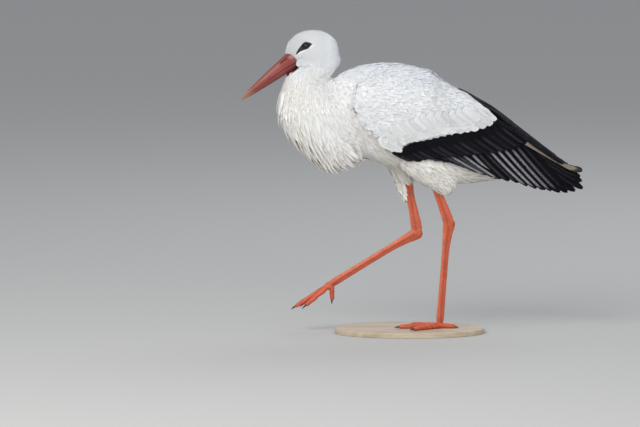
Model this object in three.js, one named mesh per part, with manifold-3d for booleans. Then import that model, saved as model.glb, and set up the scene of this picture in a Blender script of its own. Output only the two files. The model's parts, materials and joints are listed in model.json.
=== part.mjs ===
// White stork (Ciconia ciconia), life size, striding with its neck drawn in.
// Millimetres. +X is the bird's left, -Y is where the bill points, +Z is up.
// The origin is the centre of the underside of the display base; the bird group stands on the base's top.
// Every flesh part is a loft: a unit sphere whose poles become the two ends and whose rings become sections.
// Parts are then trimmed against each other with a thin clearance, so that no two solids touch.
import * as THREE from "three";
import { mergeVertices } from "three/addons/utils/BufferGeometryUtils.js";
import Module from "manifold-3d";

const wasm = await Module();
wasm.setup();

// ---------------------------------------------------------------- driving dimensions
const THROAT = [562, -215, 4], COLLAR = [520, -230, -14]; // z and y of a point on each parting plane, and its tilt in degrees
const GAP = 0.45; // clearance left where two parts meet
const BASE_LENGTH = 330, BASE_WIDTH = 214, BASE_THICK = 12, BASE_BEVEL = 2.5;

const EYE_R = 8.2, EYE_X = 21, EYE_Y = -228.5, EYE_Z = 622.5;

const HEAD = { y: -215, z: 608, front: 61.5, back: 60, up: 50.4, down: 50, side: 29.5 };

const BILL_LENGTH = 140; // exposed, from the feather edge to the tip
const BILL_TIP_Y = -372, BILL_TIP_Z = 502.8;
const BILL_DROP = 34.9; // degrees below the horizon
const BILL_RIDGE = 26.5, BILL_KEEL = 12.4, BILL_SIDE = 14.6; // above and below the gape line, and half the width, at the base

const TARSUS_SIDE = 6, TARSUS_DEPTH = 8; // half thicknesses
const TOE_R = 5.5;
const CLAW_LENGTH = 11, CLAW_R = 2.9;

// Left leg stands, right leg reaches forward. x, y, z of each joint's centre.
const LEG = {
  left: { knee: [50, 8, 452], ankle: [27, 82.5, 232], foot: [17, 65.5, 10] },
  right: { knee: [-50, -26, 440], ankle: [-34, 14, 206.8], foot: [-25, -176, 91.4] },
};

// ---------------------------------------------------------------- helpers
const V = (x, y, z) => new THREE.Vector3(x, y, z);
const lerp = THREE.MathUtils.lerp, clamp = THREE.MathUtils.clamp, rad = THREE.MathUtils.degToRad;

// Smooth columns: rows are [station, value, value, ...]; returns station -> values, by Catmull-Rom tangents.
function track(rows) {
  return (s) => {
    let i = 0;
    while (i < rows.length - 2 && s > rows[i + 1][0]) i++;
    const a = rows[i], b = rows[i + 1], p = rows[Math.max(i - 1, 0)], q = rows[Math.min(i + 2, rows.length - 1)];
    const h = b[0] - a[0], u = clamp((s - a[0]) / h, 0, 1), u2 = u * u, u3 = u2 * u;
    return a.slice(1).map((v, k) => {
      const ma = ((b[k + 1] - p[k + 1]) / (b[0] - p[0])) * h, mb = ((q[k + 1] - a[k + 1]) / (q[0] - a[0])) * h;
      return (2 * u3 - 3 * u2 + 1) * v + (u3 - 2 * u2 + u) * ma + (3 * u2 - 2 * u3) * b[k + 1] + (u3 - u2) * mb;
    });
  };
}

// A geometry with position alone, merged, and with its faces turned outwards.
function clean(geometry) {
  let g = geometry.index ? geometry.toNonIndexed() : geometry;
  g = mergeVertices(new THREE.BufferGeometry().setAttribute("position", g.getAttribute("position")), 1e-4);
  const p = g.getAttribute("position"), ix = Array.from(g.index.array), keep = [];
  let volume = 0;
  const a = V(), b = V(), c = V();
  for (let i = 0; i < ix.length; i += 3) {
    if (ix[i] === ix[i + 1] || ix[i + 1] === ix[i + 2] || ix[i] === ix[i + 2]) continue;
    a.fromBufferAttribute(p, ix[i]); b.fromBufferAttribute(p, ix[i + 1]); c.fromBufferAttribute(p, ix[i + 2]);
    volume += a.dot(b.cross(c));
    keep.push(ix[i], ix[i + 1], ix[i + 2]);
  }
  if (volume < 0) for (let i = 0; i < keep.length; i += 3) [keep[i + 1], keep[i + 2]] = [keep[i + 2], keep[i + 1]];
  g.setIndex(keep);
  return g;
}

function solid(geometry) {
  const g = clean(geometry);
  return new wasm.Manifold(new wasm.Mesh({ numProp: 3, vertProperties: new Float32Array(g.getAttribute("position").array), triVerts: new Uint32Array(g.index.array) }));
}

// The same form a little larger, to cut its neighbours back from it.
function grown(geometry, by = GAP) {
  const g = clean(geometry);
  g.computeVertexNormals();
  const p = g.getAttribute("position"), n = g.getAttribute("normal");
  for (let i = 0; i < p.count; i++) p.setXYZ(i, p.getX(i) + n.getX(i) * by, p.getY(i) + n.getY(i) * by, p.getZ(i) + n.getZ(i) * by);
  g.deleteAttribute("normal");
  return solid(g);
}

const cut = (body, ...others) => others.reduce((s, o) => s.subtract(o), body);
const largest = (s) => s.decompose().sort((a, b) => b.volume() - a.volume())[0];

// A sphere of nu by nv facets mapped by f(t, a): t runs from pole to pole, a round each ring.
function loft(nu, nv, f) {
  const g = new THREE.SphereGeometry(1, nu, nv), p = g.getAttribute("position");
  for (let j = 0, k = 0; j <= nv; j++)
    for (let i = 0; i <= nu; i++, k++) {
      const q = f(j / nv, j === 0 || j === nv ? 0 : (2 * Math.PI * (i % nu)) / nu);
      p.setXYZ(k, q.x, q.y, q.z);
    }
  return g;
}

// A slab of ns by nt facets mapped by f(s, t, d): s along, t across, d 0 outside and 1 inside.
function slab(ns, nt, f) {
  const g = new THREE.BoxGeometry(1, 1, 1, ns, nt, 1), p = g.getAttribute("position");
  for (let k = 0; k < p.count; k++) {
    const q = f(p.getX(k) + 0.5, 0.5 - p.getY(k), 0.5 - p.getZ(k));
    p.setXYZ(k, q.x, q.y, q.z);
  }
  return g;
}

// A limb or toe: a loft round the line from a to b, with half thicknesses from rows [t, side, depth, sway].
function limb(a, b, rows, nu, nv, side = V(1, 0, 0)) {
  const size = track(rows), axis = b.clone().sub(a), along = axis.clone().normalize();
  const depth = along.clone().cross(side).normalize(), across = depth.clone().cross(along).normalize();
  return loft(nu, nv, (t, w) => {
    const u = (1 - Math.cos(Math.PI * t)) / 2 * 0.35 + t * 0.65, [r1, r2, sway] = size(u), pole = t <= 0 || t >= 1 ? 0 : 1;
    return a.clone().addScaledVector(axis, u).addScaledVector(across, pole * r1 * Math.cos(w)).addScaledVector(depth, (sway || 0) + pole * r2 * Math.sin(w));
  });
}

const power = (v, k) => Math.sign(v) * Math.abs(v) ** k;

// ---------------------------------------------------------------- trunk: upright sections from breast to tail root
// y, top, bottom, half width
const trunkAt = track([
  [-205, 536, 490, 14], [-180, 543, 470, 34], [-150, 564, 420, 52], [-100, 582, 376, 68], [-30, 585, 350, 78], [40, 566, 332, 78],
  [100, 519, 318, 65], [160, 459, 322, 46], [215, 404, 338, 27], [248, 372, 352, 10],
]);
const trunkForm = loft(22, 18, (t, a) => {
  const y = lerp(-205, 250, t), [top, low, side] = trunkAt(y), pole = t <= 0 || t >= 1 ? 0 : 1;
  return V(pole * side * power(Math.cos(a), 0.9) * (1 - 0.24 * Math.max(0, Math.sin(a)) ** 2), y, (top + low) / 2 + (pole * (top - low) * Math.sin(a)) / 2);
});

// ---------------------------------------------------------------- neck and ruffed breast: level sections from crown to the ruff's points
// z, front y, back y, half width
const neckAt = track([
  [336, -180, -164, 4], [352, -204, -124, 30], [378, -230, -98, 48], [420, -266, -92, 60], [470, -292, -104, 61],
  [515, -288, -142, 50], [542, -279, -178, 40], [566, -272, -165, 34], [588, -262, -151, 29], [626, -235, -162, 16],
]);
const neckForm = loft(22, 16, (t, a) => {
  const z = lerp(334, 626, t), [front, back, side] = neckAt(z), pole = t <= 0 || t >= 1 ? 0 : 1;
  const tuck = Math.cos(a) < 0 ? 1 : 0.98; // fuller behind
  return V(pole * side * Math.sin(a) * tuck, (front + back) / 2 + (pole * (back - front) * Math.cos(a)) / 2, z);
});

// ---------------------------------------------------------------- head
const headForm = loft(22, 14, (t, a) => {
  const th = Math.PI * t, d = V(Math.sin(th) * Math.cos(a), Math.sin(th) * Math.sin(a), Math.cos(th));
  const ahead = Math.max(0, -d.y), behind = Math.max(0, d.y), rise = Math.max(0, d.z);
  const fine = 1 - 0.34 * ahead * ahead - 0.25 * ahead ** 4, cheek = d.z < 0 ? 1.04 : 1 - 0.12 * d.z * d.z, square = 1 + 0.15 * behind * behind * rise * rise;
  return V(HEAD.side * d.x * fine * cheek, HEAD.y + d.y * (d.y < 0 ? HEAD.front : HEAD.back) * square, HEAD.z + d.z * (d.z > 0 ? HEAD.up : HEAD.down) * square);
});

// ---------------------------------------------------------------- bill: two tapering halves that meet on the gape line
const billBack = V(0, Math.cos(rad(BILL_DROP)), Math.sin(rad(BILL_DROP))), billUp = V(0, -Math.sin(rad(BILL_DROP)), Math.cos(rad(BILL_DROP)));
const billTip = V(0, BILL_TIP_Y, BILL_TIP_Z);
function mandible(upper) {
  const long = BILL_LENGTH + 22;
  return loft(12, 9, (t, a) => {
    const l = t * long, k = l / BILL_LENGTH, pole = t <= 0 || t >= 1 ? 0 : 1;
    const inHead = Math.max(0, l - BILL_LENGTH - 9) / 26;
    const side = pole * BILL_SIDE * Math.min(1, k) ** 0.78 * (upper ? 1 : 0.93) * (1 - 0.5 * inHead);
    const gape = 1.6 * k - 14 * Math.max(0, k - 0.86) + (upper ? 0.25 : -0.25) * 1;
    const ridge = upper ? BILL_RIDGE * Math.min(1, k) ** 0.74 * (1 - 0.35 * inHead) : -BILL_KEEL * Math.min(1, k) ** 0.52 * (1 - 0.3 * inHead);
    const tall = Math.max(0, Math.sin(a)) ** 0.85 * (ridge - gape);
    return billTip.clone().addScaledVector(billBack, l).addScaledVector(billUp, gape + pole * tall).add(V(side * Math.cos(a), 0, 0));
  });
}
const billUpperForm = mandible(true), billLowerForm = mandible(false);

// ---------------------------------------------------------------- wings: curved plates folded over the sides and rump
// y, top edge z, top edge x, low edge z, low edge x, widest x
const wingAt = track([
  [-128, 512, 70, 482, 74, 78], [-96, 558, 40, 440, 85, 93], [-30, 580, 24, 400, 88, 100], [22, 577, 15, 387, 84, 98],
  [46, 572, 10, 381, 82.3, 96.3], [64, 557, 6, 376.5, 79.5, 93.3],
  [98, 536.5, 1.2, 369, 72.4, 86.4], [131, 521, 1.2, 357, 65.2, 78.3], [180, 490.5, 1.2, 336, 54, 65], [212, 467, 1.2, 327.5, 47.6, 57.4],
  [260, 430, 1.2, 315, 38, 46], [320, 384, 4, 303, 27, 33], [354, 362, 7, 306, 21, 25],
]);
const wingThick = (s) => lerp(15, 3.2, clamp(s * 1.25, 0, 1));
function wingPoint(s, t, d, sign) {
  const y = lerp(-128, 354, s), [zt, xt, zb, xb, wide] = wingAt(y), h = zt - zb;
  const p = [[xt, zt], [wide * 1.02, zt - 0.06 * h], [wide * 1.06, zb + 0.42 * h], [xb, zb]];
  const q = (u) => [0, 1].map((k) => (1 - u) ** 3 * p[0][k] + 3 * (1 - u) ** 2 * u * p[1][k] + 3 * (1 - u) * u * u * p[2][k] + u ** 3 * p[3][k]);
  const [x, z] = q(t), [x1, z1] = q(Math.min(t + 0.01, 1)), [x0, z0] = q(Math.max(t - 0.01, 0));
  const l = Math.hypot(x1 - x0, z1 - z0), w = d * wingThick(s) * (0.55 + 0.45 * Math.sin(Math.PI * clamp(t, 0, 1)));
  return V(sign * Math.max(x + (w * (z1 - z0)) / l, 0.7), y, z - (w * (x1 - x0)) / l);
}
const wingForm = (sign) => slab(18, 7, (s, t, d) => wingPoint(s, t, d, sign));

// The white leaf of coverts and shoulder feathers, seen from the side: y, z round its border.
const leaf = (grow) => {
  const shape = new THREE.Shape();
  shape.moveTo(-200, 300);
  shape.lineTo(-26, 372);
  shape.splineThru([[-14, 407], [40, 420], [110, 434], [160, 444], [191, 460]].map(([y, z]) => new THREE.Vector2(y + grow, z - grow)));
  shape.splineThru([[176, 476], [140, 503], [96, 533], [70, 562]].map(([y, z]) => new THREE.Vector2(y + grow, z + grow)));
  shape.lineTo(60, 640);
  shape.lineTo(-200, 640);
  shape.closePath();
  // extruded along the shape's own z, then turned so that shape x, y and depth become Y, Z and X
  return new THREE.ExtrudeGeometry(shape, { depth: 300, bevelEnabled: false, curveSegments: 3 }).applyMatrix4(
    new THREE.Matrix4().makeBasis(V(0, 1, 0), V(0, 0, 1), V(1, 0, 0)).setPosition(-150, 0, 0));
};

// The tips of the flight feathers: fingers that fan from low and level to high and rear.
const TIPS = [[288, 302], [318, 298], [342, 297], [364, 299], [384, 308], [376, 327], [380, 343]]; // y, z from the lowest up
function tips(sign) {
  const fingers = [];
  for (let i = 0; i < 7; i++) {
    const k = i / 6, tip = V(sign * lerp(31, 13, k), ...TIPS[i]);
    const root = V(sign * lerp(58, 22, k), 170 + 40 * k, lerp(372, 428, k));
    fingers.push(solid(limb(root, tip, [[0, 1.2, 6], [0.5, 1.2, 13], [0.85, 1.1, 11], [1, 0.9, 4]], 6, 4)));
  }
  return fingers;
}

// ---------------------------------------------------------------- tail: a low fan between the wings
const tailForm = slab(8, 6, (s, t, d) => {
  const y = lerp(150, 322, s), half = lerp(22, 27, s) - 12 * Math.max(0, s - 0.8), u = 2 * t - 1, round = (1 - u * u) * 10 * s;
  return V(u * half, y + round, lerp(376, 334, s) - 5 * u * u - d * lerp(10, 2.4, s));
});
// Loose feathers under the tail root.
const ventForm = loft(12, 8, (t, a) => {
  const y = lerp(96, 236, t), r = Math.sin(Math.PI * t) ** 0.6, pole = t <= 0 || t >= 1 ? 0 : 1;
  return V(pole * 34 * r * Math.cos(a), y, lerp(342, 352, t) + pole * r * (Math.sin(a) < 0 ? 25 : 22) * Math.sin(a));
});

// ---------------------------------------------------------------- feathered thighs
function thigh(side) {
  const left = side === "left", s = left ? 1 : -1;
  const top = left ? V(s * 52, 4, 418) : V(s * 50, -40, 404), low = left ? V(s * 35, 78, 293) : V(s * 37, 0, 272);
  const rows = left
    ? [[0, 26, 40, 0], [0.25, 32, 56, -2], [0.5, 29, 52, -7], [0.72, 22, 40, -13], [0.88, 15, 27, -15], [1, 9, 13, -10]]
    : [[0, 24, 34, 0], [0.25, 28, 39, -4], [0.5, 23, 28, -5], [0.72, 16, 21, 0], [0.88, 12, 17, 1], [1, 7, 10, 0]];
  return limb(top, low, rows, 14, 9);
}

// ---------------------------------------------------------------- bare legs and feet
const shank = (j) => limb(V(...j.knee).lerp(V(...j.ankle), 0.3), V(...j.ankle), [[0, 9, 11, 0], [0.5, 7, 9, -1], [0.76, 7.4, 10.6, -2.5], [0.93, 8.6, 12, -3], [1, 8.4, 10.5, -2]], 10, 9);
function tarsus(j, bend) {
  const a = V(...j.ankle), b = V(...j.foot), up = a.clone().addScaledVector(a.clone().sub(b).normalize(), 13);
  return limb(up, b, [[0, 8, 8, 0], [0.035, 9.6, 12.8, bend], [0.08, 9.4, 13, bend], [0.17, 7.4, 10.4, bend * 0.4], [0.32, TARSUS_SIDE, TARSUS_DEPTH, 0], [0.8, TARSUS_SIDE, TARSUS_DEPTH, 0], [0.95, 7.4, 8.4, 0], [1, 7, 7, 0]], 10, 12);
}

// Toes: root, tip and half thickness; each is a slightly flattened taper with its sole on one level when it stands.
const toeRows = [[0, 1.25, 1.05, 0], [0.12, 1.35, 1.1, 0], [0.5, 1, 0.95, 0], [0.9, 0.92, 0.86, 0], [1, 0.6, 0.6, 0]].map(([t, ...r]) => [t, ...r.map((x) => x * TOE_R)]);
const TOES = { inner: { turn: -36, long: 66 }, middle: { turn: 0, long: 86 }, outer: { turn: 34, long: 72 }, hind: { turn: 172, long: 30 } };
const RAISED = { inner: [0.2, -0.79, -0.66], middle: [-0.02, -0.85, -0.54], outer: [-0.3, -0.8, -0.62], hind: [0.02, 0.03, -1] }; // where the raised toes point
function foot(side) {
  const j = LEG[side], left = side === "left", root = V(...j.foot), out = { toes: [], claws: [] };
  out.toes.push(new THREE.SphereGeometry(1, 8, 6).scale(8.2, 10.5, left ? 7 : 9).translate(root.x, root.y - (left ? 1 : 2), left ? 7.4 : root.z - 3));
  for (const [name, { turn, long }] of Object.entries(TOES)) {
    let a, b, dir;
    if (left) {
      const w = rad(turn + 6); // the whole foot is turned out a little
      dir = V(Math.sin(w), -Math.cos(w), 0);
      a = V(root.x + dir.x * 2, root.y + dir.y * 2, 6.4);
      b = a.clone().addScaledVector(dir, long + 2).setZ(4.4);
    } else {
      dir = V(...RAISED[name]).normalize();
      a = root.clone().addScaledVector(dir, 1).add(V(0, name === "hind" ? 4 : 0, 0));
      b = a.clone().addScaledVector(dir, long + 3);
    }
    out.toes.push(limb(a, b, toeRows, 7, 6));
    const down = left ? V(0, 0, -1) : V(0, -0.5, -0.86), tipAt = b.clone().addScaledVector(dir, CLAW_LENGTH * (name === "hind" ? 0.75 : 1));
    const from = b.clone().addScaledVector(dir, -3);
    out.claws.push({ name, form: limb(from, tipAt.clone().addScaledVector(down, left ? 2.2 : 1.5), [[0, CLAW_R, CLAW_R * 0.8, 0], [0.4, CLAW_R * 0.85, CLAW_R * 0.7, 0], [1, 0.7, 0.6, 0]], 6, 4) });
  }
  return out;
}

// ---------------------------------------------------------------- display base
const baseForm = (() => {
  const profile = [[0, 0], [1, 0], [1, BASE_THICK - BASE_BEVEL], [1 - BASE_BEVEL / (BASE_WIDTH / 2), BASE_THICK], [0, BASE_THICK]].map(([r, z]) => new THREE.Vector2(r, z));
  return new THREE.LatheGeometry(profile, 40).rotateX(Math.PI / 2).scale(BASE_WIDTH / 2, BASE_LENGTH / 2, 1);
})();

// ---------------------------------------------------------------- trimming
const eyeForm = (s) => new THREE.SphereGeometry(EYE_R, 12, 8).rotateZ(Math.PI / 2).translate(s * EYE_X, EYE_Y, EYE_Z);
const G = {
  trunk: grown(trunkForm), neck: grown(neckForm), head: grown(headForm), billU: grown(billUpperForm), billL: grown(billLowerForm),
  eyeL: grown(eyeForm(1)), eyeR: grown(eyeForm(-1)), thighL: grown(thigh("left")), thighR: grown(thigh("right")), vent: grown(ventForm),
};
const parts = {};
parts.eye_left = solid(eyeForm(1));
parts.eye_right = solid(eyeForm(-1));
parts.bill_upper = solid(billUpperForm);
parts.bill_lower = solid(billLowerForm);
// Head and neck are one column, parted at the throat and again above the ruff.
const column = cut(solid(headForm).add(solid(neckForm)), G.eyeL, G.eyeR, G.billU, G.billL);
const beyond = (z, y, tilt, up) => solid(new THREE.BoxGeometry(400, 600, 400).translate(0, 0, up ? 200.2 : -200.2).rotateX(rad(tilt)).translate(0, y, z));
parts.head = largest(column.intersect(beyond(...THROAT, true)));
parts.neck = largest(column.intersect(beyond(...THROAT, false)).intersect(beyond(...COLLAR, true)));
parts.breast = largest(column.intersect(beyond(...COLLAR, false)));
parts.trunk = largest(cut(solid(trunkForm), G.neck, G.head));

for (const [name, s] of [["left", 1], ["right", -1]]) {
  let whole = solid(wingForm(s));
  for (const f of tips(s)) whole = whole.add(f);
  whole = cut(whole, G.trunk, G.neck);
  // each wing keeps to its own side of the middle plane
  whole = whole.intersect(solid(new THREE.BoxGeometry(300, 1200, 1200).translate(s * 150.3, 0, 300)));
  parts["wing_" + name] = largest(whole.intersect(solid(leaf(0))));
  parts["flight_" + name] = largest(whole.subtract(solid(leaf(GAP))));
}
const wingCut = [1, -1].map((s) => { let w = grown(wingForm(s)); for (const f of tips(s)) w = w.add(f); return w; });
parts.tail = largest(cut(solid(tailForm).add(solid(ventForm)), G.trunk, ...wingCut));
for (const name of ["left", "right"]) {
  const j = LEG[name], f = foot(name);
  const other = name === "left" ? [] : [G.thighL];
  parts["thigh_" + name] = largest(cut(solid(thigh(name)), G.trunk, ...wingCut, G.vent, G.neck, ...other));
  const tarsusForm = tarsus(j, name === "left" ? -2.5 : -2.5);
  parts["shank_" + name] = largest(cut(solid(shank(j)), grown(tarsusForm), name === "left" ? G.thighL : G.thighR, G.trunk));
  let toes = f.toes.map((g) => solid(g)).reduce((a, b) => a.add(b));
  if (name === "left") toes = cut(toes, solid(new THREE.BoxGeometry(400, 400, 40).translate(0, 60, -20))); // flat soles
  parts["foot_" + name] = largest(toes);
  const toesGrown = f.toes.map((g) => grown(g)).reduce((a, b) => a.add(b));
  parts["tarsus_" + name] = largest(cut(solid(tarsusForm), toesGrown));
  for (const c of f.claws) {
    let claw = cut(solid(c.form), toesGrown);
    if (name === "left") claw = cut(claw, solid(new THREE.BoxGeometry(400, 400, 40).translate(0, 60, -20)));
    parts["claw_" + name + "_" + c.name] = largest(claw);
  }
}

// ---------------------------------------------------------------- scene
const paint = (color, roughness, metalness = 0) => new THREE.MeshStandardMaterial({ color, roughness, metalness });
const plumageWhite = paint(0xeeeae2, 0.85), plumageCream = paint(0xe6dfd0, 0.88), plumageBlack = paint(0x17171c, 0.55);
const billRed = paint(0xb4483a, 0.42), legRed = paint(0xd9532f, 0.5), horn = paint(0x3a2a26, 0.4), eyeDark = paint(0x120d0c, 0.08), wood = paint(0xd6ccbb, 0.6);
const finish = (name) =>
  name.startsWith("eye") ? eyeDark : name.startsWith("bill") ? billRed : name.startsWith("flight") ? plumageBlack : name.startsWith("claw") ? horn
  : /^(shank|tarsus|foot)/.test(name) ? legRed : /^(thigh|breast|tail)/.test(name) ? plumageCream : plumageWhite;

function geometryOf(s) {
  const m = s.getMesh(), n = m.numProp, v = new Float32Array(m.numVert * 3);
  for (let i = 0; i < m.numVert; i++) v.set(m.vertProperties.subarray(i * n, i * n + 3), i * 3);
  const g = new THREE.BufferGeometry().setAttribute("position", new THREE.BufferAttribute(v, 3)).setIndex(new THREE.BufferAttribute(m.triVerts.slice(), 1));
  g.computeVertexNormals();
  return g;
}

const stork = new THREE.Group();
const bird = new THREE.Group();
bird.position.z = BASE_THICK;
for (const [name, s] of Object.entries(parts)) {
  const mesh = new THREE.Mesh(geometryOf(s), finish(name));
  mesh.name = name;
  bird.add(mesh);
}
const base = new THREE.Mesh(clean(baseForm), wood);
base.name = "stand_base";
base.geometry.computeVertexNormals();
stork.add(bird, base);

export default stork;
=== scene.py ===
import json
import math
import time

import bmesh
import bpy
import numpy as np
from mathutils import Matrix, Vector
from mathutils.bvhtree import BVHTree
from mathutils.kdtree import KDTree

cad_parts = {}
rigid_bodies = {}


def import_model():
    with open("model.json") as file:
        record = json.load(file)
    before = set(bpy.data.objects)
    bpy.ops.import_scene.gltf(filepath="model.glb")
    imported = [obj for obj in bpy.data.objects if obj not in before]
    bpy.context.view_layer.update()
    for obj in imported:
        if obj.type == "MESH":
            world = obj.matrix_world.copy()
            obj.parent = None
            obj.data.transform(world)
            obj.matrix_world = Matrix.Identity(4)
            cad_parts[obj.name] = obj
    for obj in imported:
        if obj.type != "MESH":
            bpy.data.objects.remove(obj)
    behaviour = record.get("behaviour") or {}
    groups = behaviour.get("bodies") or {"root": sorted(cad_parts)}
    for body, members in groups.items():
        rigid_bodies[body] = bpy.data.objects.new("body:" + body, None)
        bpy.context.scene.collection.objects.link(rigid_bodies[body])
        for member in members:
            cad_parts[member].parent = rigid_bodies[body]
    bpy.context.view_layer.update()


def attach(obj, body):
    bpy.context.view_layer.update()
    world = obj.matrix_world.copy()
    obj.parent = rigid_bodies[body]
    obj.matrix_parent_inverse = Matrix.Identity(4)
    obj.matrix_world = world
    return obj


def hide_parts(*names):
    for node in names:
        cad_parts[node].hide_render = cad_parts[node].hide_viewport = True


STARTED = time.time()
for ob in list(bpy.data.objects):  # Blender's own starting cube, light and camera
    bpy.data.objects.remove(ob)
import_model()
rng = np.random.default_rng(1758)

BASE_T = 12.0
EYE = np.array([21.0, -228.5, 622.5])
EYE_R = 8.2
HEAD = dict(y=-215.0, z=608.0, front=61.5, back=60.0, up=50.4, down=50.0, side=29.5)
BILL_LENGTH, BILL_DROP = 140.0, math.radians(34.9)
BILL_TIP = np.array([0.0, -372.0, 502.8])
BILL_BACK = np.array([0.0, math.cos(BILL_DROP), math.sin(BILL_DROP)])
BILL_UP = np.array([0.0, -math.sin(BILL_DROP), math.cos(BILL_DROP)])
LEG = {
    "left": dict(knee=(50, 8, 452), ankle=(27, 82.5, 232), foot=(17, 65.5, 10)),
    "right": dict(knee=(-50, -26, 440), ankle=(-34, 14, 206.8), foot=(-25, -176, 91.4)),
}


def say(*words):
    print("[%5.1f s]" % (time.time() - STARTED), *words)


# ------------------------------------------------------------------ small tools
def track(rows):
    """Rows of [station, value, ...] -> a smooth function of the station (Catmull-Rom tangents)."""
    rows = np.array(rows, float)
    s0, val, n = rows[:, 0], rows[:, 1:], len(rows)

    def f(s):
        s = np.atleast_1d(np.asarray(s, float))
        a = np.clip(np.searchsorted(s0, s, side="left") - 1, 0, n - 2)
        b, p, q = a + 1, np.maximum(a - 1, 0), np.minimum(a + 2, n - 1)
        h = s0[b] - s0[a]
        u = np.clip((s - s0[a]) / h, 0, 1)[:, None]
        ma = (val[b] - val[p]) / (s0[b] - s0[p])[:, None] * h[:, None]
        mb = (val[q] - val[a]) / (s0[q] - s0[a])[:, None] * h[:, None]
        return (2 * u**3 - 3 * u**2 + 1) * val[a] + (u**3 - 2 * u**2 + u) * ma + (3 * u**2 - 2 * u**3) * val[b] + (u**3 - u**2) * mb

    return f


def unit(v):
    v = np.asarray(v, float)
    return v / np.maximum(np.linalg.norm(v, axis=-1, keepdims=True), 1e-9)


def smooth(a, b, x):
    t = np.clip((np.asarray(x, float) - a) / (b - a), 0, 1)
    return t * t * (3 - 2 * t)


def power(v, k):
    return np.sign(v) * np.abs(v) ** k


def put(points):
    return (np.asarray(points, float) + [0, 0, BASE_T]) * 0.001


def mesh_object(name, verts_mm, faces, smooth_faces=True):
    """verts in bird millimetres; faces an (n, 3) or (n, 4) array, or a list of such arrays."""
    groups = [np.asarray(f) for f in (faces if isinstance(faces, list) else [faces]) if len(f)]
    me = bpy.data.meshes.new(name)
    co = put(verts_mm).astype(np.float32)
    loops = np.concatenate([g.ravel() for g in groups]).astype(np.int32)
    counts = np.concatenate([np.full(len(g), g.shape[1]) for g in groups])
    me.vertices.add(len(co))
    me.vertices.foreach_set("co", co.ravel())
    me.loops.add(len(loops))
    me.loops.foreach_set("vertex_index", loops)
    me.polygons.add(len(counts))
    me.polygons.foreach_set("loop_start", np.concatenate([[0], np.cumsum(counts)[:-1]]).astype(np.int32))
    me.polygons.foreach_set("loop_total", counts.astype(np.int32))
    me.update(calc_edges=True)
    me.validate()
    me.polygons.foreach_set("use_smooth", np.full(len(me.polygons), smooth_faces))
    ob = bpy.data.objects.new(name, me)
    bpy.context.scene.collection.objects.link(ob)
    return ob


def vertices_mm(me):
    co = np.empty(len(me.vertices) * 3, np.float32)
    me.vertices.foreach_get("co", co)
    return co.reshape(-1, 3).astype(float) * 1000 - [0, 0, BASE_T]


def set_vertices_mm(me, v):
    me.vertices.foreach_set("co", put(v).astype(np.float32).ravel())
    me.update()


def normals_of(me):
    no = np.empty(len(me.vertices) * 3, np.float32)
    me.vertices.foreach_get("normal", no)
    return no.reshape(-1, 3).astype(float)


def loft(nu, nv, f):
    """Closed loft: f(t, a) with t in 0..1 between two poles and a in 0..2 pi round each ring."""
    t = np.repeat(np.arange(1, nv) / nv, nu)
    a = np.tile(2 * np.pi * np.arange(nu) / nu, nv - 1)
    v = np.concatenate([f(np.array([0.0]), np.array([0.0])), f(t, a), f(np.array([1.0]), np.array([0.0]))])
    i = np.arange(nu)
    k = (i + 1) % nu
    quads = [np.stack([1 + j * nu + i, 1 + j * nu + k, 1 + (j + 1) * nu + k, 1 + (j + 1) * nu + i], 1) for j in range(nv - 2)]
    last = len(v) - 1
    tris = np.concatenate([np.stack([np.zeros(nu, int), 1 + k, 1 + i], 1), np.stack([np.full(nu, last), 1 + (nv - 2) * nu + i, 1 + (nv - 2) * nu + k], 1)])
    return v, [np.concatenate(quads), tris]


def outward(v, faces):
    """Turns a closed shape's faces so that they face out."""
    vol = 0.0
    for g in faces:
        a, b, c = v[g[:, 0]], v[g[:, 1]], v[g[:, 2]]
        vol += np.einsum("ij,ij->i", a, np.cross(b, c)).sum()
        if g.shape[1] == 4:
            d = v[g[:, 3]]
            vol += np.einsum("ij,ij->i", a, np.cross(c, d)).sum()
    return [g[:, ::-1] for g in faces] if vol < 0 else faces


def joined(shapes):
    """[(verts, faces list)] -> one such pair."""
    vs, fs, at = [], {3: [], 4: []}, 0
    for v, faces in shapes:
        for g in outward(v, faces):
            fs[g.shape[1]].append(g + at)
        vs.append(v)
        at += len(v)
    return np.concatenate(vs), [np.concatenate(g) for g in fs.values() if g]


def pole(t):
    return np.where((t <= 0) | (t >= 1), 0.0, 1.0)


# ------------------------------------------------------------------ the bird's outer forms (the same as the CAD model's)
trunk_at = track([
    [-205, 536, 490, 14], [-180, 543, 470, 34], [-150, 564, 420, 52], [-100, 582, 376, 68], [-30, 585, 350, 78], [40, 566, 332, 78],
    [100, 519, 318, 65], [160, 459, 322, 46], [215, 404, 338, 27], [248, 372, 352, 10]])


def trunk_form(t, a):
    y = -205 + 455 * t
    top, low, side = trunk_at(y).T
    p = pole(t)
    return np.stack([p * side * power(np.cos(a), 0.9) * (1 - 0.24 * np.maximum(0, np.sin(a)) ** 2), y, (top + low) / 2 + p * (top - low) / 2 * np.sin(a)], 1)


neck_at = track([
    [336, -180, -164, 4], [352, -204, -124, 30], [378, -230, -98, 48], [420, -266, -92, 60], [470, -292, -104, 61],
    [515, -288, -142, 50], [542, -279, -178, 40], [566, -272, -165, 34], [588, -262, -151, 29], [626, -235, -162, 16]])


def neck_form(t, a):
    z = 334 + 292 * t
    front, back, side = neck_at(z).T
    p = pole(t)
    return np.stack([p * side * np.sin(a), (front + back) / 2 + p * (back - front) * np.cos(a) / 2, z], 1)


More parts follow.
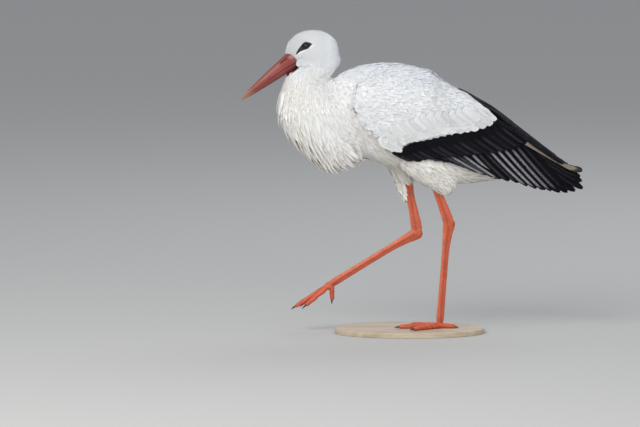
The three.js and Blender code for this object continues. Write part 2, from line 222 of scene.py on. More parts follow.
def head_form(t, a):
    th = np.pi * t
    dx, dy, dz = np.sin(th) * np.cos(a), np.sin(th) * np.sin(a), np.cos(th)
    ahead, behind, rise = np.maximum(0, -dy), np.maximum(0, dy), np.maximum(0, dz)
    fine = 1 - 0.34 * ahead**2 - 0.25 * ahead**4
    cheek = np.where(dz < 0, 1.04, 1 - 0.12 * dz * dz)
    square = 1 + 0.15 * behind**2 * rise**2
    return np.stack([HEAD["side"] * dx * fine * cheek, HEAD["y"] + dy * np.where(dy < 0, HEAD["front"], HEAD["back"]) * square,
                     HEAD["z"] + dz * np.where(dz > 0, HEAD["up"], HEAD["down"]) * square], 1)


def limb_form(a, b, rows, side=(1, 0, 0)):
    size = track(rows)
    a, b = np.array(a, float), np.array(b, float)
    along = unit(b - a)
    depth = unit(np.cross(along, side))
    across = unit(np.cross(depth, along))

    def f(t, w):
        u = (1 - np.cos(np.pi * t)) / 2 * 0.35 + t * 0.65
        r1, r2, sway = size(u).T
        p = pole(t)
        return a + np.outer(u, b - a) + (p * r1 * np.cos(w))[:, None] * across + (sway + p * r2 * np.sin(w))[:, None] * depth

    return f


def vent_form(t, a):
    r = np.sin(np.pi * np.clip(t, 0, 1)) ** 0.6
    p = pole(t)
    return np.stack([p * 34 * r * np.cos(a), 96 + 140 * t, 342 + 10 * t + p * r * np.where(np.sin(a) < 0, 25, 22) * np.sin(a)], 1)


THIGH = {
    "left": limb_form((52, 4, 418), (35, 78, 293), [[0, 26, 40, 0], [0.25, 32, 56, -2], [0.5, 29, 52, -7], [0.72, 22, 40, -13], [0.88, 15, 27, -15], [1, 9, 13, -10]]),
    "right": limb_form((-50, -40, 404), (-37, 0, 272), [[0, 24, 34, 0], [0.25, 28, 39, -4], [0.5, 23, 28, -5], [0.72, 16, 21, 0], [0.88, 12, 17, 1], [1, 7, 10, 0]]),
}

# wing: y, top edge z, top edge x, low edge z, low edge x, widest x
wing_at = track([
    [-128, 512, 70, 482, 74, 78], [-96, 558, 40, 440, 85, 93], [-30, 580, 24, 400, 88, 100], [22, 577, 15, 387, 84, 98],
    [46, 572, 10, 381, 82.3, 96.3], [64, 557, 6, 376.5, 79.5, 93.3],
    [98, 536.5, 1.2, 369, 72.4, 86.4], [131, 521, 1.2, 357, 65.2, 78.3], [180, 490.5, 1.2, 336, 54, 65], [212, 467, 1.2, 327.5, 47.6, 57.4],
    [260, 430, 1.2, 315, 38, 46], [320, 384, 4, 303, 27, 33], [354, 362, 7, 306, 21, 25]])


def bezier(t, p0, p1, p2, p3):
    return (1 - t) ** 3 * p0 + 3 * (1 - t) ** 2 * t * p1 + 3 * (1 - t) * t * t * p2 + t**3 * p3


def wing_surface(y, t):
    """Outer surface of the left wing: (x, z) and the outward normal's (x, z)."""
    zt, xt, zb, xb, wide = wing_at(y).T
    h = zt - zb

    def at(u):
        return bezier(u, xt, wide * 1.02, wide * 1.06, xb), bezier(u, zt, zt - 0.06 * h, zb + 0.42 * h, zb)

    x, z = at(t)
    x1, z1 = at(np.minimum(t + 0.01, 1))
    x0, z0 = at(np.maximum(t - 0.01, 0))
    n = unit(np.stack([-(z1 - z0), x1 - x0], 1))
    return x, z, n


_T = np.linspace(0, 1, 201)
_G = bezier(_T, 0, 0.06, 0.58, 1.0)  # share of the height gone down at t


def wing_t(y, z):
    zt, _, zb, _, _ = wing_at(y).T
    return np.interp((zt - z) / (zt - zb), _G, _T)


def wing_x(y, z):
    """Outer x of the left wing at side-view place (y, z), with its normal, and how far z is outside the wing's edges (0 inside)."""
    y = np.atleast_1d(y).astype(float)
    z = np.atleast_1d(z).astype(float)
    zt, _, zb, _, _ = wing_at(y).T
    t = wing_t(y, z)
    x, zz, n = wing_surface(y, t)
    return x, n, np.maximum(z - zt, 0) + np.maximum(zb - z, 0)


def wing_lobe(sign):
    """The fleshy wing under the coverts: thick in front, thin behind, and deeper where flight feathers lie on it."""
    ns, nt = 70, 40
    s, t = np.meshgrid(np.linspace(0, 1, ns + 1), np.linspace(0, 1, nt + 1), indexing="ij")
    y = -128 + 318 * s.ravel()
    tt = t.ravel()
    x, z, n = wing_surface(y, tt)
    thick = (34 - 27 * np.clip(s.ravel() * 1.15, 0, 1)) * (0.3 + 0.7 * np.sin(np.pi * tt)) * (0.25 + 0.75 * np.sin(np.pi * np.clip(s.ravel() * 3, 0, 0.5)))
    inset = np.maximum(0, 5.2 - 0.28 * thick) * smooth(0.05, 0.3, s.ravel())
    inset = inset + 6.0 * smooth(3, -7, leaf_margin(y, z)) * smooth(-60, -20, y)
    outer = np.stack([np.maximum(x - n[:, 0] * inset, 0.8), y, z - n[:, 1] * inset], 1)
    inner = np.stack([np.maximum(x - n[:, 0] * (thick + inset), 0.4), y, z - n[:, 1] * (thick + inset)], 1)
    v = np.concatenate([outer, inner])
    idx = np.arange((ns + 1) * (nt + 1)).reshape(ns + 1, nt + 1)
    top = np.stack([idx[:-1, :-1], idx[1:, :-1], idx[1:, 1:], idx[:-1, 1:]], -1).reshape(-1, 4)
    m = (ns + 1) * (nt + 1)
    edges = [idx[:, 0], idx[-1, :], idx[::-1, -1], idx[0, ::-1]]
    ring = np.concatenate([e[:-1] for e in edges])
    nxt = np.roll(ring, -1)
    walls = np.stack([ring, nxt, nxt + m, ring + m], 1)
    v[:, 0] *= sign
    return v, [np.concatenate([top[:, ::-1], top + m, walls])]


# ------------------------------------------------------------------ the lie of the coat
# Each row: label, x, y, z (left half; mirrored), reach, direction x, y, z, length, width, gap, depth, point, stick, loose
GROOM = [
    ("head", 0, -274, 600, 13, 0, 0.70, 0.72, 4.5, 2.4, 1.7, 1.0, 0.5, 1, 0.1),
    ("head", 16, -258, 600, 11, 0.1, 0.9, 0.1, 4.2, 2.2, 1.6, 0.8, 0.5, 1, 0.1),
    ("head", 14, -262, 580, 11, 0.1, 0.85, -0.3, 4.5, 2.4, 1.7, 1.0, 0.5, 1, 0.2),
    ("head", 22, -240, 645, 14, 0.1, 0.95, 0.25, 5.5, 3.0, 2.0, 1.4, 0.4, 1, 0.1),
    ("head", 0, -225, 664, 18, 0, 1, 0.05, 8, 4.2, 2.6, 2.2, 0.4, 1, 0.1),
    ("head", 26, -200, 640, 14, 0.05, 0.97, -0.15, 7.5, 4.0, 2.5, 2.2, 0.4, 1, 0.1),
    ("head", 27, -230, 606, 12, 0.1, 0.9, -0.35, 5.5, 3.0, 2.0, 1.4, 0.4, 1, 0.15),
    ("head", 29, -200, 600, 16, 0.05, 0.8, -0.6, 8.5, 4.4, 2.7, 2.4, 0.4, 1, 0.15),
    ("head", 0, -165, 640, 18, 0, 0.55, -0.83, 11, 5.5, 3.2, 3.0, 0.4, 1, 0.15),
    ("head", 20, -240, 572, 13, 0.1, 0.45, -0.88, 7.5, 3.8, 2.4, 2.0, 0.5, 1, 0.25),
    ("neck", 0, -153, 590, 20, 0, -0.25, -0.96, 15, 7.5, 4.0, 3.0, 0.4, 1, 0.15),
    ("neck", 0, -272, 560, 16, 0, -0.2, -0.97, 12, 5.2, 3.0, 2.2, 0.5, 0.95, 0.3),
    ("neck", 34, -215, 555, 24, 0, 0.05, -1, 18, 8.5, 4.2, 3.0, 0.4, 1, 0.15),
    ("neck", 0, -284, 530, 24, 0, -0.12, -0.99, 22, 8.0, 4.4, 3.4, 0.6, 0.95, 0.4),
    ("neck", 44, -220, 525, 28, 0, 0.12, -0.99, 28, 10, 5.0, 3.8, 0.5, 0.98, 0.25),
    ("neck", 30, -172, 538, 24, 0.1, 0.15, -0.98, 24, 10, 5.0, 3.4, 0.4, 1, 0.15),
    ("breast", 0, -292, 475, 34, 0, 0.1, -0.99, 46, 12.5, 5.8, 4.6, 0.7, 0.95, 0.28),
    ("breast", 55, -225, 480, 34, 0.05, 0.22, -0.97, 46, 14, 6.4, 4.4, 0.55, 0.97, 0.22),
    ("breast", 60, -150, 480, 30, 0.1, 0.5, -0.86, 42, 16, 7.2, 4.2, 0.45, 1, 0.18),
    ("breast", 0, -255, 415, 34, 0, 0.30, -0.95, 60, 13, 6.2, 5.6, 0.85, 0.9, 0.35),
    ("breast", 50, -190, 415, 34, 0, 0.42, -0.9, 60, 14, 6.4, 5.6, 0.75, 0.92, 0.3),
    ("breast", 30, -120, 410, 30, 0, 0.7, -0.7, 44, 14, 7, 5.4, 0.7, 0.92, 0.35),
    ("breast", 0, -185, 360, 30, 0, 0.5, -0.86, 44, 12, 6.0, 6, 0.9, 0.92, 0.4),
    ("back", 0, -160, 556, 20, 0, 0.85, 0.5, 20, 13, 6.0, 1.6, 0.3, 1, 0.15),
    ("back", 25, -128, 572, 28, 0.15, 0.95, 0.0, 32, 18, 7.5, 2.6, 0.15, 1, 0.1),
    ("back", 0, -60, 584, 40, 0, 0.98, -0.12, 44, 25, 10.0, 3.6, 0.05, 1, 0.08),
    ("back", 0, 40, 570, 40, 0, 0.9, -0.42, 50, 27, 11.0, 3.8, 0, 1, 0.12),
    ("back", 0, 110, 520, 40, 0, 0.8, -0.6, 52, 26, 12, 4.0, 0, 1, 0.1),
    ("wing", 80, -118, 500, 26, 0.25, 0.80, -0.55, 26, 17, 7.5, 3.0, 0.05, 1, 0.06),
    ("wing", 70, -80, 550, 34, 0.15, 0.92, -0.36, 32, 20, 8.5, 3.2, 0.05, 1, 0.06),
    ("wing", 96, -50, 470, 36, 0.05, 0.84, -0.54, 34, 22, 9.0, 3.4, 0.05, 1, 0.06),
    ("wing", 100, 10, 500, 40, 0, 0.86, -0.5, 40, 25, 10.0, 3.6, 0, 1, 0.05),
    ("wing", 50, 20, 565, 36, 0, 0.87, -0.5, 48, 27, 11.0, 3.6, 0, 1, 0.05),
    ("wing", 95, 40, 430, 36, 0, 0.86, -0.5, 38, 23, 9.5, 3.6, 0, 1, 0.05),
    ("wing", 70, 110, 480, 44, 0, 0.84, -0.54, 50, 28, 11.5, 3.8, 0, 1, 0.05),
    ("belly", 66, -90, 400, 34, 0, 0.88, -0.47, 36, 13, 7, 7, 0.5, 0.9, 0.6),
    ("belly", 20, -80, 365, 36, 0, 0.95, -0.3, 36, 13, 7, 7, 0.5, 0.9, 0.6),
    ("belly", 0, 20, 334, 40, 0, 1, 0, 38, 13, 7, 7, 0.5, 0.9, 0.6),
    ("belly", 76, 0, 370, 36, 0, 0.85, -0.5, 36, 12, 6.5, 7, 0.5, 0.9, 0.7),
    ("belly", 60, 90, 360, 34, 0, 0.93, -0.3, 40, 12, 6.5, 7, 0.5, 0.8, 0.8),
    ("vent", 20, 130, 330, 36, 0, 0.97, 0.0, 44, 12, 7, 7, 0.6, 0.7, 0.8),
    ("vent", 20, 200, 336, 36, 0, 0.97, 0.1, 46, 13, 8, 6, 0.5, 0.7, 0.7),
]
THIGH_ROWS = {
    "left": [
        ("thigh", 82, 20, 372, 26, 0.0, 0.50, -0.86, 34, 8, 5.0, 6, 0.7, 0.8, 0.9),
        ("thigh", 66, 66, 345, 24, 0.0, 0.55, -0.83, 32, 7.5, 4.8, 6, 0.8, 0.6, 1),
        ("thigh", 52, 30, 330, 22, 0.0, 0.52, -0.85, 28, 7, 4.4, 5, 0.8, 0.8, 1),
        ("thigh", 40, 92, 310, 20, -0.05, 0.50, -0.86, 26, 6.5, 4.2, 4.5, 0.9, 0.45, 1),
        ("thigh", 34, 66, 302, 16, -0.05, 0.35, -0.93, 18, 5, 3.4, 3, 0.9, 0.9, 1),
    ],
    "right": [
        ("thigh", 74, -46, 350, 24, 0.0, 0.30, -0.95, 30, 8, 5.0, 6, 0.7, 0.8, 0.9),
        ("thigh", 50, -34, 315, 20, 0.0, 0.28, -0.96, 26, 7, 4.4, 5, 0.8, 0.8, 1),
        ("thigh", 50, 10, 320, 20, 0.0, 0.30, -0.95, 26, 7, 4.4, 5, 0.8, 0.6, 1),
        ("thigh", 38, -6, 282, 16, -0.05, 0.25, -0.97, 18, 5, 3.4, 3, 0.9, 0.8, 1),
    ],
}
LABELS = ["head", "neck", "breast", "back", "wing", "belly", "vent", "thigh"]
PARAMS = ["length", "width", "gap", "depth", "point", "stick", "loose"]
_rows = {s: GROOM + THIGH_ROWS[s] for s in ("left", "right")}
_num = {s: np.array([r[1:] for r in _rows[s]], float) for s in _rows}
_lab = {s: np.array([LABELS.index(r[0]) for r in _rows[s]]) for s in _rows}


def groom(p):
    """Direction, parameters (columns as in PARAMS) and label at points p."""
    p = np.atleast_2d(p)
    d, par, lab = np.zeros((len(p), 3)), np.zeros((len(p), len(PARAMS))), np.zeros(len(p), int)
    for side, m in (("left", p[:, 0] >= 0), ("right", p[:, 0] < 0)):
        if not m.any():
            continue
        q = p[m] * [1 if side == "left" else -1, 1, 1]
        num = _num[side]
        r2 = ((q[:, None, :] - num[None, :, :3]) ** 2).sum(2)
        w = np.exp(-r2 / (2 * num[None, :, 3] ** 2)) + 1e-7 / (1 + r2)
        w /= w.sum(1, keepdims=True)
        dd = w @ num[:, 4:7]
        if side == "right":
            dd[:, 0] *= -1
        d[m] = unit(dd)
        par[m] = w @ num[:, 7:]
        lab[m] = _lab[side][w.argmax(1)]
    return d, par, lab


# ------------------------------------------------------------------ markings
_leaf_low = track([[-30, 372], [-14, 405], [40, 419], [110, 433], [160, 444], [191, 460]])
_leaf_top = track([[62, 606], [80, 564], [98, 538.5], [112, 529], [125, 520], [150, 499.5], [176, 478.5], [191, 461]])


def leaf_margin(y, z):
    """How far inside the white leaf of the folded wing a side-view place is, in mm (negative: in the black)."""
    y, z = np.atleast_1d(y).astype(float), np.atleast_1d(z).astype(float)
    low = np.where(y < -30, 1e3, (z - _leaf_low(np.clip(y, -30, 191))[:, 0]) * 0.97)
    top = np.where(y < 62, 1e3, (_leaf_top(np.clip(y, 62, 191))[:, 0] - z) * 0.8)
    return np.minimum(np.minimum(low, top), 191 - y)


def leaf_borders(y, z):
    """The same, border by border: above the lower one, and below the upper one or short of the hind point."""
    low = np.where(y < -30, 1e3, (z - _leaf_low(np.clip(y, -30, 191))[:, 0]) * 0.97)
    top = np.where(y < 62, 1e3, (_leaf_top(np.clip(y, 62, 191))[:, 0] - z) * 0.8)
    return low, np.minimum(top, 191 - y)


def outline_margin(corners, y, z):
    """Signed distance (mm) from side-view places to a closed outline, positive inside."""
    q = np.array(corners, float)
    y, z = np.asarray(y, float), np.asarray(z, float)
    best = np.full(y.shape, 1e9)
    inside = np.zeros(y.shape, bool)
    for (y0, z0), (y1, z1) in zip(q, np.roll(q, -1, 0)):
        t = np.clip(((y - y0) * (y1 - y0) + (z - z0) * (z1 - z0)) / ((y1 - y0) ** 2 + (z1 - z0) ** 2), 0, 1)
        best = np.minimum(best, np.hypot(y - y0 - t * (y1 - y0), z - z0 - t * (z1 - z0)))
        cross = (z0 > z) != (z1 > z)
        inside ^= cross & (y < (y1 - y0) * (z - z0) / np.where(z1 == z0, 1, z1 - z0) + y0)
    return np.where(inside, best, -best)


def line_distance(points, y, z):
    q = np.array(points, float)
    best = np.full(np.shape(y), 1e9)
    for (y0, z0), (y1, z1) in zip(q[:-1], q[1:]):
        t = np.clip(((y - y0) * (y1 - y0) + (z - z0) * (z1 - z0)) / ((y1 - y0) ** 2 + (z1 - z0) ** 2), 0, 1)
        best = np.minimum(best, np.hypot(y - y0 - t * (y1 - y0), z - z0 - t * (z1 - z0)))
    return best


# the bare black skin: round the eye, drawn out to a point towards the gape and to a short one behind
PATCH = [(-251.4, 603.4), (-247.8, 611.2), (-240.6, 622.0), (-234.6, 629.2), (-229.4, 632.4), (-222.4, 631.0), (-214.4, 627.6),
         (-219.8, 622.4), (-225.0, 617.6), (-234.0, 614.2), (-241.8, 610.6), (-247.0, 606.0)]
# SLIT: a short slit under the wing's leading edge, sunk into the skin and painted dark as its shadow
SLIT = [(-76, 430.5), (-61, 415.5)]
CREASES = [[(-249.5, 592.6), (-235.5, 598.8)], [(-246.5, 578.6), (-234.0, 578.4), (-219.5, 579.4)]]


def patch_margin(p):
    """How far inside the bare black skin round the eye a point is (mm, negative outside)."""
    near = (np.abs(p[:, 0]) > 9) & (np.abs(p[:, 2] - 617) < 30) & (np.abs(p[:, 1] + 232) < 34)
    m = np.full(len(p), -50.0)
    m[near] = outline_margin(PATCH, p[near, 1], p[near, 2])
    return m


def bill_coords(p):
    r = p - BILL_TIP
    return r @ BILL_BACK, r @ BILL_UP


# where the horn ends on the face: height across the bill -> distance from its tip
_horn = track([[-13.6, 147], [-8, 143], [-2, 147], [7, 152], [10, 150.5], [14, 145], [20, 138], [27, 133], [40, 131]])


def bill_section(l):
    """Half widths of the two mandibles, the gape line and the upper and lower outlines at a distance from the tip."""
    k = np.asarray(l, float) / BILL_LENGTH
    k1 = np.clip(k, 0, 1)
    flare = 4.2 * smooth(112, 150, l)
    fat = np.exp(-np.asarray(l, float) / 36) * smooth(-1.0, 7, l)
    side = 14.6 * k1**0.78 + flare + 1.2 * fat
    gape = 1.6 * k - 14 * np.maximum(0, k - 0.86)
    return side, side * 0.95, gape, 26.5 * k1**0.74 + 0.9 * fat, -12.4 * k1**0.52 - 0.8 * fat


def bill_half(l, h):
    su, sl, gape, top, low = bill_section(np.clip(l, 0, 158))
    upper = h > gape
    q = np.clip((h - gape) / np.where(upper, top - gape, low - gape), 0, 1) ** (1 / 0.85)
    return np.where(upper, su, sl) * np.sqrt(1 - q * q)


def horn_margin(p):
    """How far inside the bill's horn a place on the face is (mm, negative on the feathered face)."""
    l, h = bill_coords(p)
    m = np.minimum(_horn(np.clip(h, -13.6, 40))[:, 0] - l, h + 13.6)
    return np.where((p[:, 1] < -230) & (p[:, 2] > 540), m, -50.0)


def crease_distance(p):
    d = np.full(len(p), 99.0)
    near = (p[:, 1] < -205) & (p[:, 2] > 560) & (p[:, 2] < 612)
    for c in CREASES:
        d[near] = np.minimum(d[near], line_distance(c, p[near, 1], p[near, 2]))
    return d


# ------------------------------------------------------------------ skin
def remeshed(v, faces, voxel_mm, name):
    ob = mesh_object(name, v, faces)
    mod = ob.modifiers.new("union", "REMESH")
    mod.mode = "VOXEL"
    mod.voxel_size = voxel_mm * 0.001
    mod.adaptivity = 0
    dg = bpy.context.evaluated_depsgraph_get()
    me = bpy.data.meshes.new_from_object(ob.evaluated_get(dg))
    bpy.data.objects.remove(ob)
    return me


def relax(me, times, weight=0.5, mask=None):
    v = vertices_mm(me)
    e = np.empty(len(me.edges) * 2, np.int32)
    me.edges.foreach_get("vertices", e)
    e = e.reshape(-1, 2)
    n = np.bincount(e.ravel(), minlength=len(v)).astype(float)[:, None]
    for _ in range(times):
        s = np.zeros_like(v)
        for k in range(3):
            s[:, k] = np.bincount(e[:, 0], v[e[:, 1], k], len(v)) + np.bincount(e[:, 1], v[e[:, 0], k], len(v))
        step = (s / np.maximum(n, 1) - v) * weight
        v = v + (step if mask is None else step * mask[:, None])
    set_vertices_mm(me, v)


def bvh_of(me):
    bm = bmesh.new()
    bm.from_mesh(me)
    tree = BVHTree.FromBMesh(bm)
    bm.free()
    return tree


# ------------------------------------------------------------------ bare legs and feet
TOE_R = 5.5
TOES = {"inner": (-36, 66), "middle": (0, 86), "outer": (34, 72), "hind": (172, 30)}  # turn, length
RAISED = {"inner": (0.2, -0.79, -0.66), "middle": (-0.02, -0.85, -0.54), "outer": (-0.3, -0.8, -0.62), "hind": (0.02, 0.03, -1)}
TOE_ROWS = [[0, 1.25, 1.05, 0], [0.12, 1.35, 1.1, 0], [0.5, 1, 0.95, 0], [0.9, 0.92, 0.86, 0], [1, 0.6, 0.6, 0]]


def toe_line(side, name):
    root, left = np.array(LEG[side]["foot"], float), side == "left"
    turn, long = TOES[name]
    if left:
        w = math.radians(turn + 6)
        d = np.array([math.sin(w), -math.cos(w), 0.0])
        a = np.array([root[0] + d[0] * 2, root[1] + d[1] * 2, 6.4])
        b = a + d * (long + 2)
        b[2] = 4.4
    else:
        d = unit(np.array(RAISED[name]))
        a = root + d + [0, 4.0 if name == "hind" else 0, 0]
        b = a + d * (long + 3)
    return a, b, d


def leg_shapes(side):
    j = {k: np.array(q, float) for k, q in LEG[side].items()}
    out = []
    start = j["knee"] + (j["ankle"] - j["knee"]) * 0.3
    shank = limb_form(start, j["ankle"], [[0, 9, 11, 0], [0.5, 7, 9, -1], [0.76, 7.4, 10.6, -2.5], [0.93, 8.6, 12, -3], [1, 8.4, 10.5, -2]])
    up = j["ankle"] + unit(j["ankle"] - j["foot"]) * 13
    b = -2.5
    tarsus = limb_form(up, j["foot"], [[0, 8, 8, 0], [0.035, 9.6, 12.8, b], [0.08, 9.4, 13, b], [0.17, 7.4, 10.4, b * 0.4], [0.32, 6, 8, 0], [0.8, 6, 8, 0], [0.95, 7.4, 8.4, 0], [1, 7, 7, 0]])

    def carve(form, a, e, grooves):
        # a groove down each side between the shin and the tendon behind it, with the joint's own folds
        along = unit(e - a)
        long = np.linalg.norm(e - a)

        def f(t, w):
            p = form(t, w)
            u = (p - a) @ along / long
            c = a + np.outer(u, e - a)
            out_ = p - c
            r = np.linalg.norm(out_, axis=1)
            lo, hi, depth = grooves
            g = depth * smooth(lo, lo + 0.12, u) * smooth(hi, hi - 0.12, u) * np.exp(-((np.abs(np.cos(w)) - 1) / 0.16) ** 2) * np.exp(-((np.sin(w) + 0.18) / 0.30) ** 2)
            return p - out_ / np.maximum(r, 1e-6)[:, None] * (g * (r > 1))[:, None]

        return f

    out.append(loft(40, 120, carve(shank, start, j["ankle"], (0.1, 0.85, 0.9))))
    out.append(loft(40, 190, carve(tarsus, up, j["foot"], (0.14, 0.95, 0.85))))
    left = side == "left"
    c = np.array([j["foot"][0], j["foot"][1] - (1 if left else 2), 7.4 if left else j["foot"][2] - 3])
    size = np.array([8.2, 10.5, 7.0 if left else 9.0])
    out.append(loft(32, 24, lambda t, w: c + size * np.stack([np.sin(np.pi * t) * np.cos(w), np.sin(np.pi * t) * np.sin(w), np.cos(np.pi * t)], 1)))
    for name in TOES:
        a, e, d = toe_line(side, name)
        form = limb_form(a, e, [[t, *(np.array(r) * TOE_R)] for t, *r in TOE_ROWS])
        n_seg = {"inner": 3, "middle": 4, "outer": 5, "hind": 2}[name]

        def toe(t, w, form=form, a=a, e=e, n_seg=n_seg):
            p = form(t, w)
            u = np.clip((p - a) @ (e - a) / ((e - a) @ (e - a)), 0, 1)
            c_ = a + np.outer(u, e - a)
            r_ = p - c_
            swell = 1 + 0.10 * np.cos(2 * np.pi * n_seg * u) * smooth(0.02, 0.2, u) * (0.35 + 0.65 * (r_[:, 2] < 0))
            # hidden under the toe: pads; on its back: low scutes
            scute = 0.22 * np.abs(np.sin(np.pi * np.linalg.norm(e - a) / 3.4 * u)) * smooth(0.15, 0.6, np.sin(w))
            return c_ + r_ * (swell + scute / TOE_R)[:, None]

        out.append(loft(24, int(np.linalg.norm(e - a) / 1.1), toe))
    for one, two in (("inner", "middle"), ("middle", "outer")):
        (a1, e1, d1), (a2, e2, d2) = toe_line(side, one), toe_line(side, two)
        ns_, nt_ = 10, 10
        s_, t_ = np.meshgrid(np.linspace(0, 1, ns_ + 1), np.linspace(0, 1, nt_ + 1), indexing="ij")
        s_, t_ = s_.ravel(), t_.ravel()
        reach = (21 if one == "middle" else 15) * s_ * (1 - 0.62 * np.sin(np.pi * t_))
        mid_ = (a1 + np.outer(reach, d1)) * (1 - t_)[:, None] + (a2 + np.outer(reach, d2)) * t_[:, None]
        up_ = unit(np.cross(d1, d2))
        up_ = up_ if up_[2] > 0 else -up_
        half_ = (2.1 * (1 - 0.55 * s_))[:, None]
        vv = np.concatenate([mid_ + up_ * half_, mid_ - up_ * half_])
        idx = np.arange((ns_ + 1) * (nt_ + 1)).reshape(ns_ + 1, nt_ + 1)
        m_ = (ns_ + 1) * (nt_ + 1)
        face = np.stack([idx[:-1, :-1], idx[1:, :-1], idx[1:, 1:], idx[:-1, 1:]], -1).reshape(-1, 4)
        ring_ = np.concatenate([idx[:-1, 0], idx[-1, :-1], idx[::-1][:-1, -1], idx[0, ::-1][:-1]])
        nx = np.roll(ring_, -1)
        out.append((vv, [np.concatenate([face[:, ::-1], face + m_, np.stack([ring_, nx, nx + m_, ring_ + m_], 1)])]))
    return out


def united(base, shapes, name):
    """Joins closed shapes onto a mesh by boolean union; where that fails they are simply joined."""
    ob = bpy.data.objects.new(name, base)
    bpy.context.scene.collection.objects.link(ob)
    for i, (v, f) in enumerate(shapes):
        other = mesh_object(name + "_b", v, outward(v, f))
        before = len(ob.data.vertices)
        mod = ob.modifiers.new("u", "BOOLEAN")
        mod.operation, mod.solver, mod.object = "UNION", "MANIFOLD", other
        me = bpy.data.meshes.new_from_object(ob.evaluated_get(bpy.context.evaluated_depsgraph_get()))
        ob.modifiers.clear()
        if len(me.vertices) < 0.6 * (before + len(v)):
            say("union", i, "kept by joining", len(me.vertices), before, len(v))
            bm = bmesh.new()
            bm.from_mesh(ob.data)
            bm.from_mesh(other.data)
            bm.to_mesh(ob.data)
            bm.free()
        else:
            ob.data = me
        bpy.data.objects.remove(other)
    me = ob.data
    bpy.data.objects.remove(ob)
    return me


def shoulder(sign):
    """The soft filling between neck and folded wing."""
    def f(t, a):
        th = np.pi * t
        return np.stack([sign * (63 + 19 * np.sin(th) * np.cos(a)), -109 + 18 * np.sin(th) * np.sin(a), 512 + 36 * np.cos(th)], 1)

    return f


shapes = [loft(32, 24, shoulder(1)), loft(32, 24, shoulder(-1)), loft(96, 110, trunk_form), loft(96, 90, neck_form), loft(96, 80, head_form), loft(48, 40, vent_form),
          loft(56, 48, THIGH["left"]), loft(56, 48, THIGH["right"]), wing_lobe(1), wing_lobe(-1)]
body = remeshed(*joined(shapes), 4.0, "body_form")
relax(body, 6)
_v = vertices_mm(body)
relax(body, 16, 0.5, smooth(40, 52, np.abs(_v[:, 0])) * smooth(-148, -136, _v[:, 1]) * smooth(-84, -98, _v[:, 1]) * smooth(462, 478, _v[:, 2]) * smooth(574, 560, _v[:, 2]))
say("body form", len(body.vertices), "vertices")

# refine the head, then the parts round the eyes and the bill's root
for reach, centres in ((64, [(0, -215, 612)]), (29, [(25, -238, 610), (-25, -238, 610)]), (19, [(26, -233, 618), (-26, -233, 618)])):
    bm = bmesh.new()
    bm.from_mesh(body)
    near = []
    for f in bm.faces:
        c = f.calc_center_median() * 1000 - Vector((0, 0, BASE_T))
        if any((c - Vector(q)).length < reach for q in centres):
            near.append(f)
    edges = list({e for f in near for e in f.edges})
    bmesh.ops.subdivide_edges(bm, edges=edges, cuts=1, use_grid_fill=True)
    bmesh.ops.triangulate(bm, faces=[f for f in bm.faces if len(f.verts) > 4])
    bm.to_mesh(body)
    bm.free()
v = vertices_mm(body)
relax(body, 6, 0.5, smooth(72, 50, np.linalg.norm(v - [0, -215, 612], axis=1)))

# sink the skin by the coat's depth, or by a share of a thin part's thickness
v, n = vertices_mm(body), normals_of(body)
_, par, lab = groom(v)
depth = par[:, 3].copy()
tree = bvh_of(body)
vm, nm = put(v), n
for i in range(len(v)):
    hit = tree.ray_cast(Vector(vm[i] - nm[i] * 1e-4), Vector(-nm[i]), 0.05)
    if hit[3] is not None:
        depth[i] = min(depth[i], 0.28 * hit[3] * 1000)
ruff_foot = smooth(-96, -112, v[:, 1]) * smooth(468, 430, v[:, 2])
depth += 9 * ruff_foot * smooth(0.3, 0.7, np.hypot(n[:, 1], n[:, 2]))
shank_x = -50 + 16 * (440 - v[:, 2]) / 232.5
depth += np.where((v[:, 0] < 0) & (v[:, 1] < 40) & (v[:, 2] > 262), 7 * smooth(338, 312, v[:, 2]) * smooth(-3, 3, v[:, 0] - shank_x), 0)
depth += np.where(np.abs(v[:, 0]) > 45, 7 * np.exp(-((line_distance(SLIT, v[:, 1], v[:, 2]) / 3.0) ** 2)), 0)
v = v - n * depth[:, None]
set_vertices_mm(body, v)
relax(body, 2, 0.4, smooth(0.6, 2.0, depth))

# the head's own modelling: sockets, lids, lores, brow, cheek and the folds behind the gape
v, n = vertices_mm(body), normals_of(body)
side = np.sign(v[:, 0])
r = np.hypot(v[:, 1] - EYE[1], v[:, 2] - EYE[2])
outer = (np.abs(v[:, 0]) > 10) & (np.hypot(v[:, 1] + 232, v[:, 2] - 605) < 48)
ring = np.exp(-((r - 7.0) / 1.0) ** 2) * 1.7
hollow = -smooth(6.4, 4.8, r) * 6.0
moat = -np.exp(-((r - 9.6) / 1.3) ** 2) * 0.6
pm = patch_margin(v)
lore = -smooth(-3, 2, pm) * smooth(-236, -240, v[:, 1]) * 0.9
brow = np.exp(-(((v[:, 1] + 232) / 15) ** 2) - ((v[:, 2] - 636) / 4.5) ** 2) * 1.4
cheek = -np.exp(-(((v[:, 1] + 236) / 14) ** 2) - ((v[:, 2] - 603) / 6) ** 2) * 0.7
fold = -1.1 * np.exp(-((crease_distance(v) / 1.1) ** 2))
v[:, 0] += np.where(outer, side * (ring + hollow + moat + lore + brow + cheek + fold), 0)
hm = horn_margin(v)
l, h = bill_coords(v)
under = np.maximum(bill_half(l, h) - 1.0, 0.3)
w = smooth(-0.9, 0.6, hm)
v[:, 0] = np.sign(v[:, 0]) * (np.abs(v[:, 0]) * (1 - w) + np.minimum(np.abs(v[:, 0]), under) * w)
set_vertices_mm(body, v)
relax(body, 1, 0.25, np.where(outer, 1.0, 0.0))
BODY_TREE = bvh_of(body)
_bn = normals_of(body)
_bv = vertices_mm(body)
_poly = [tuple(p.vertices) for p in body.polygons]
_poly_n = np.array([unit(_bn[list(p)].mean(0)) for p in _poly])
say("skin", len(body.vertices), "vertices,", len(body.polygons), "faces")


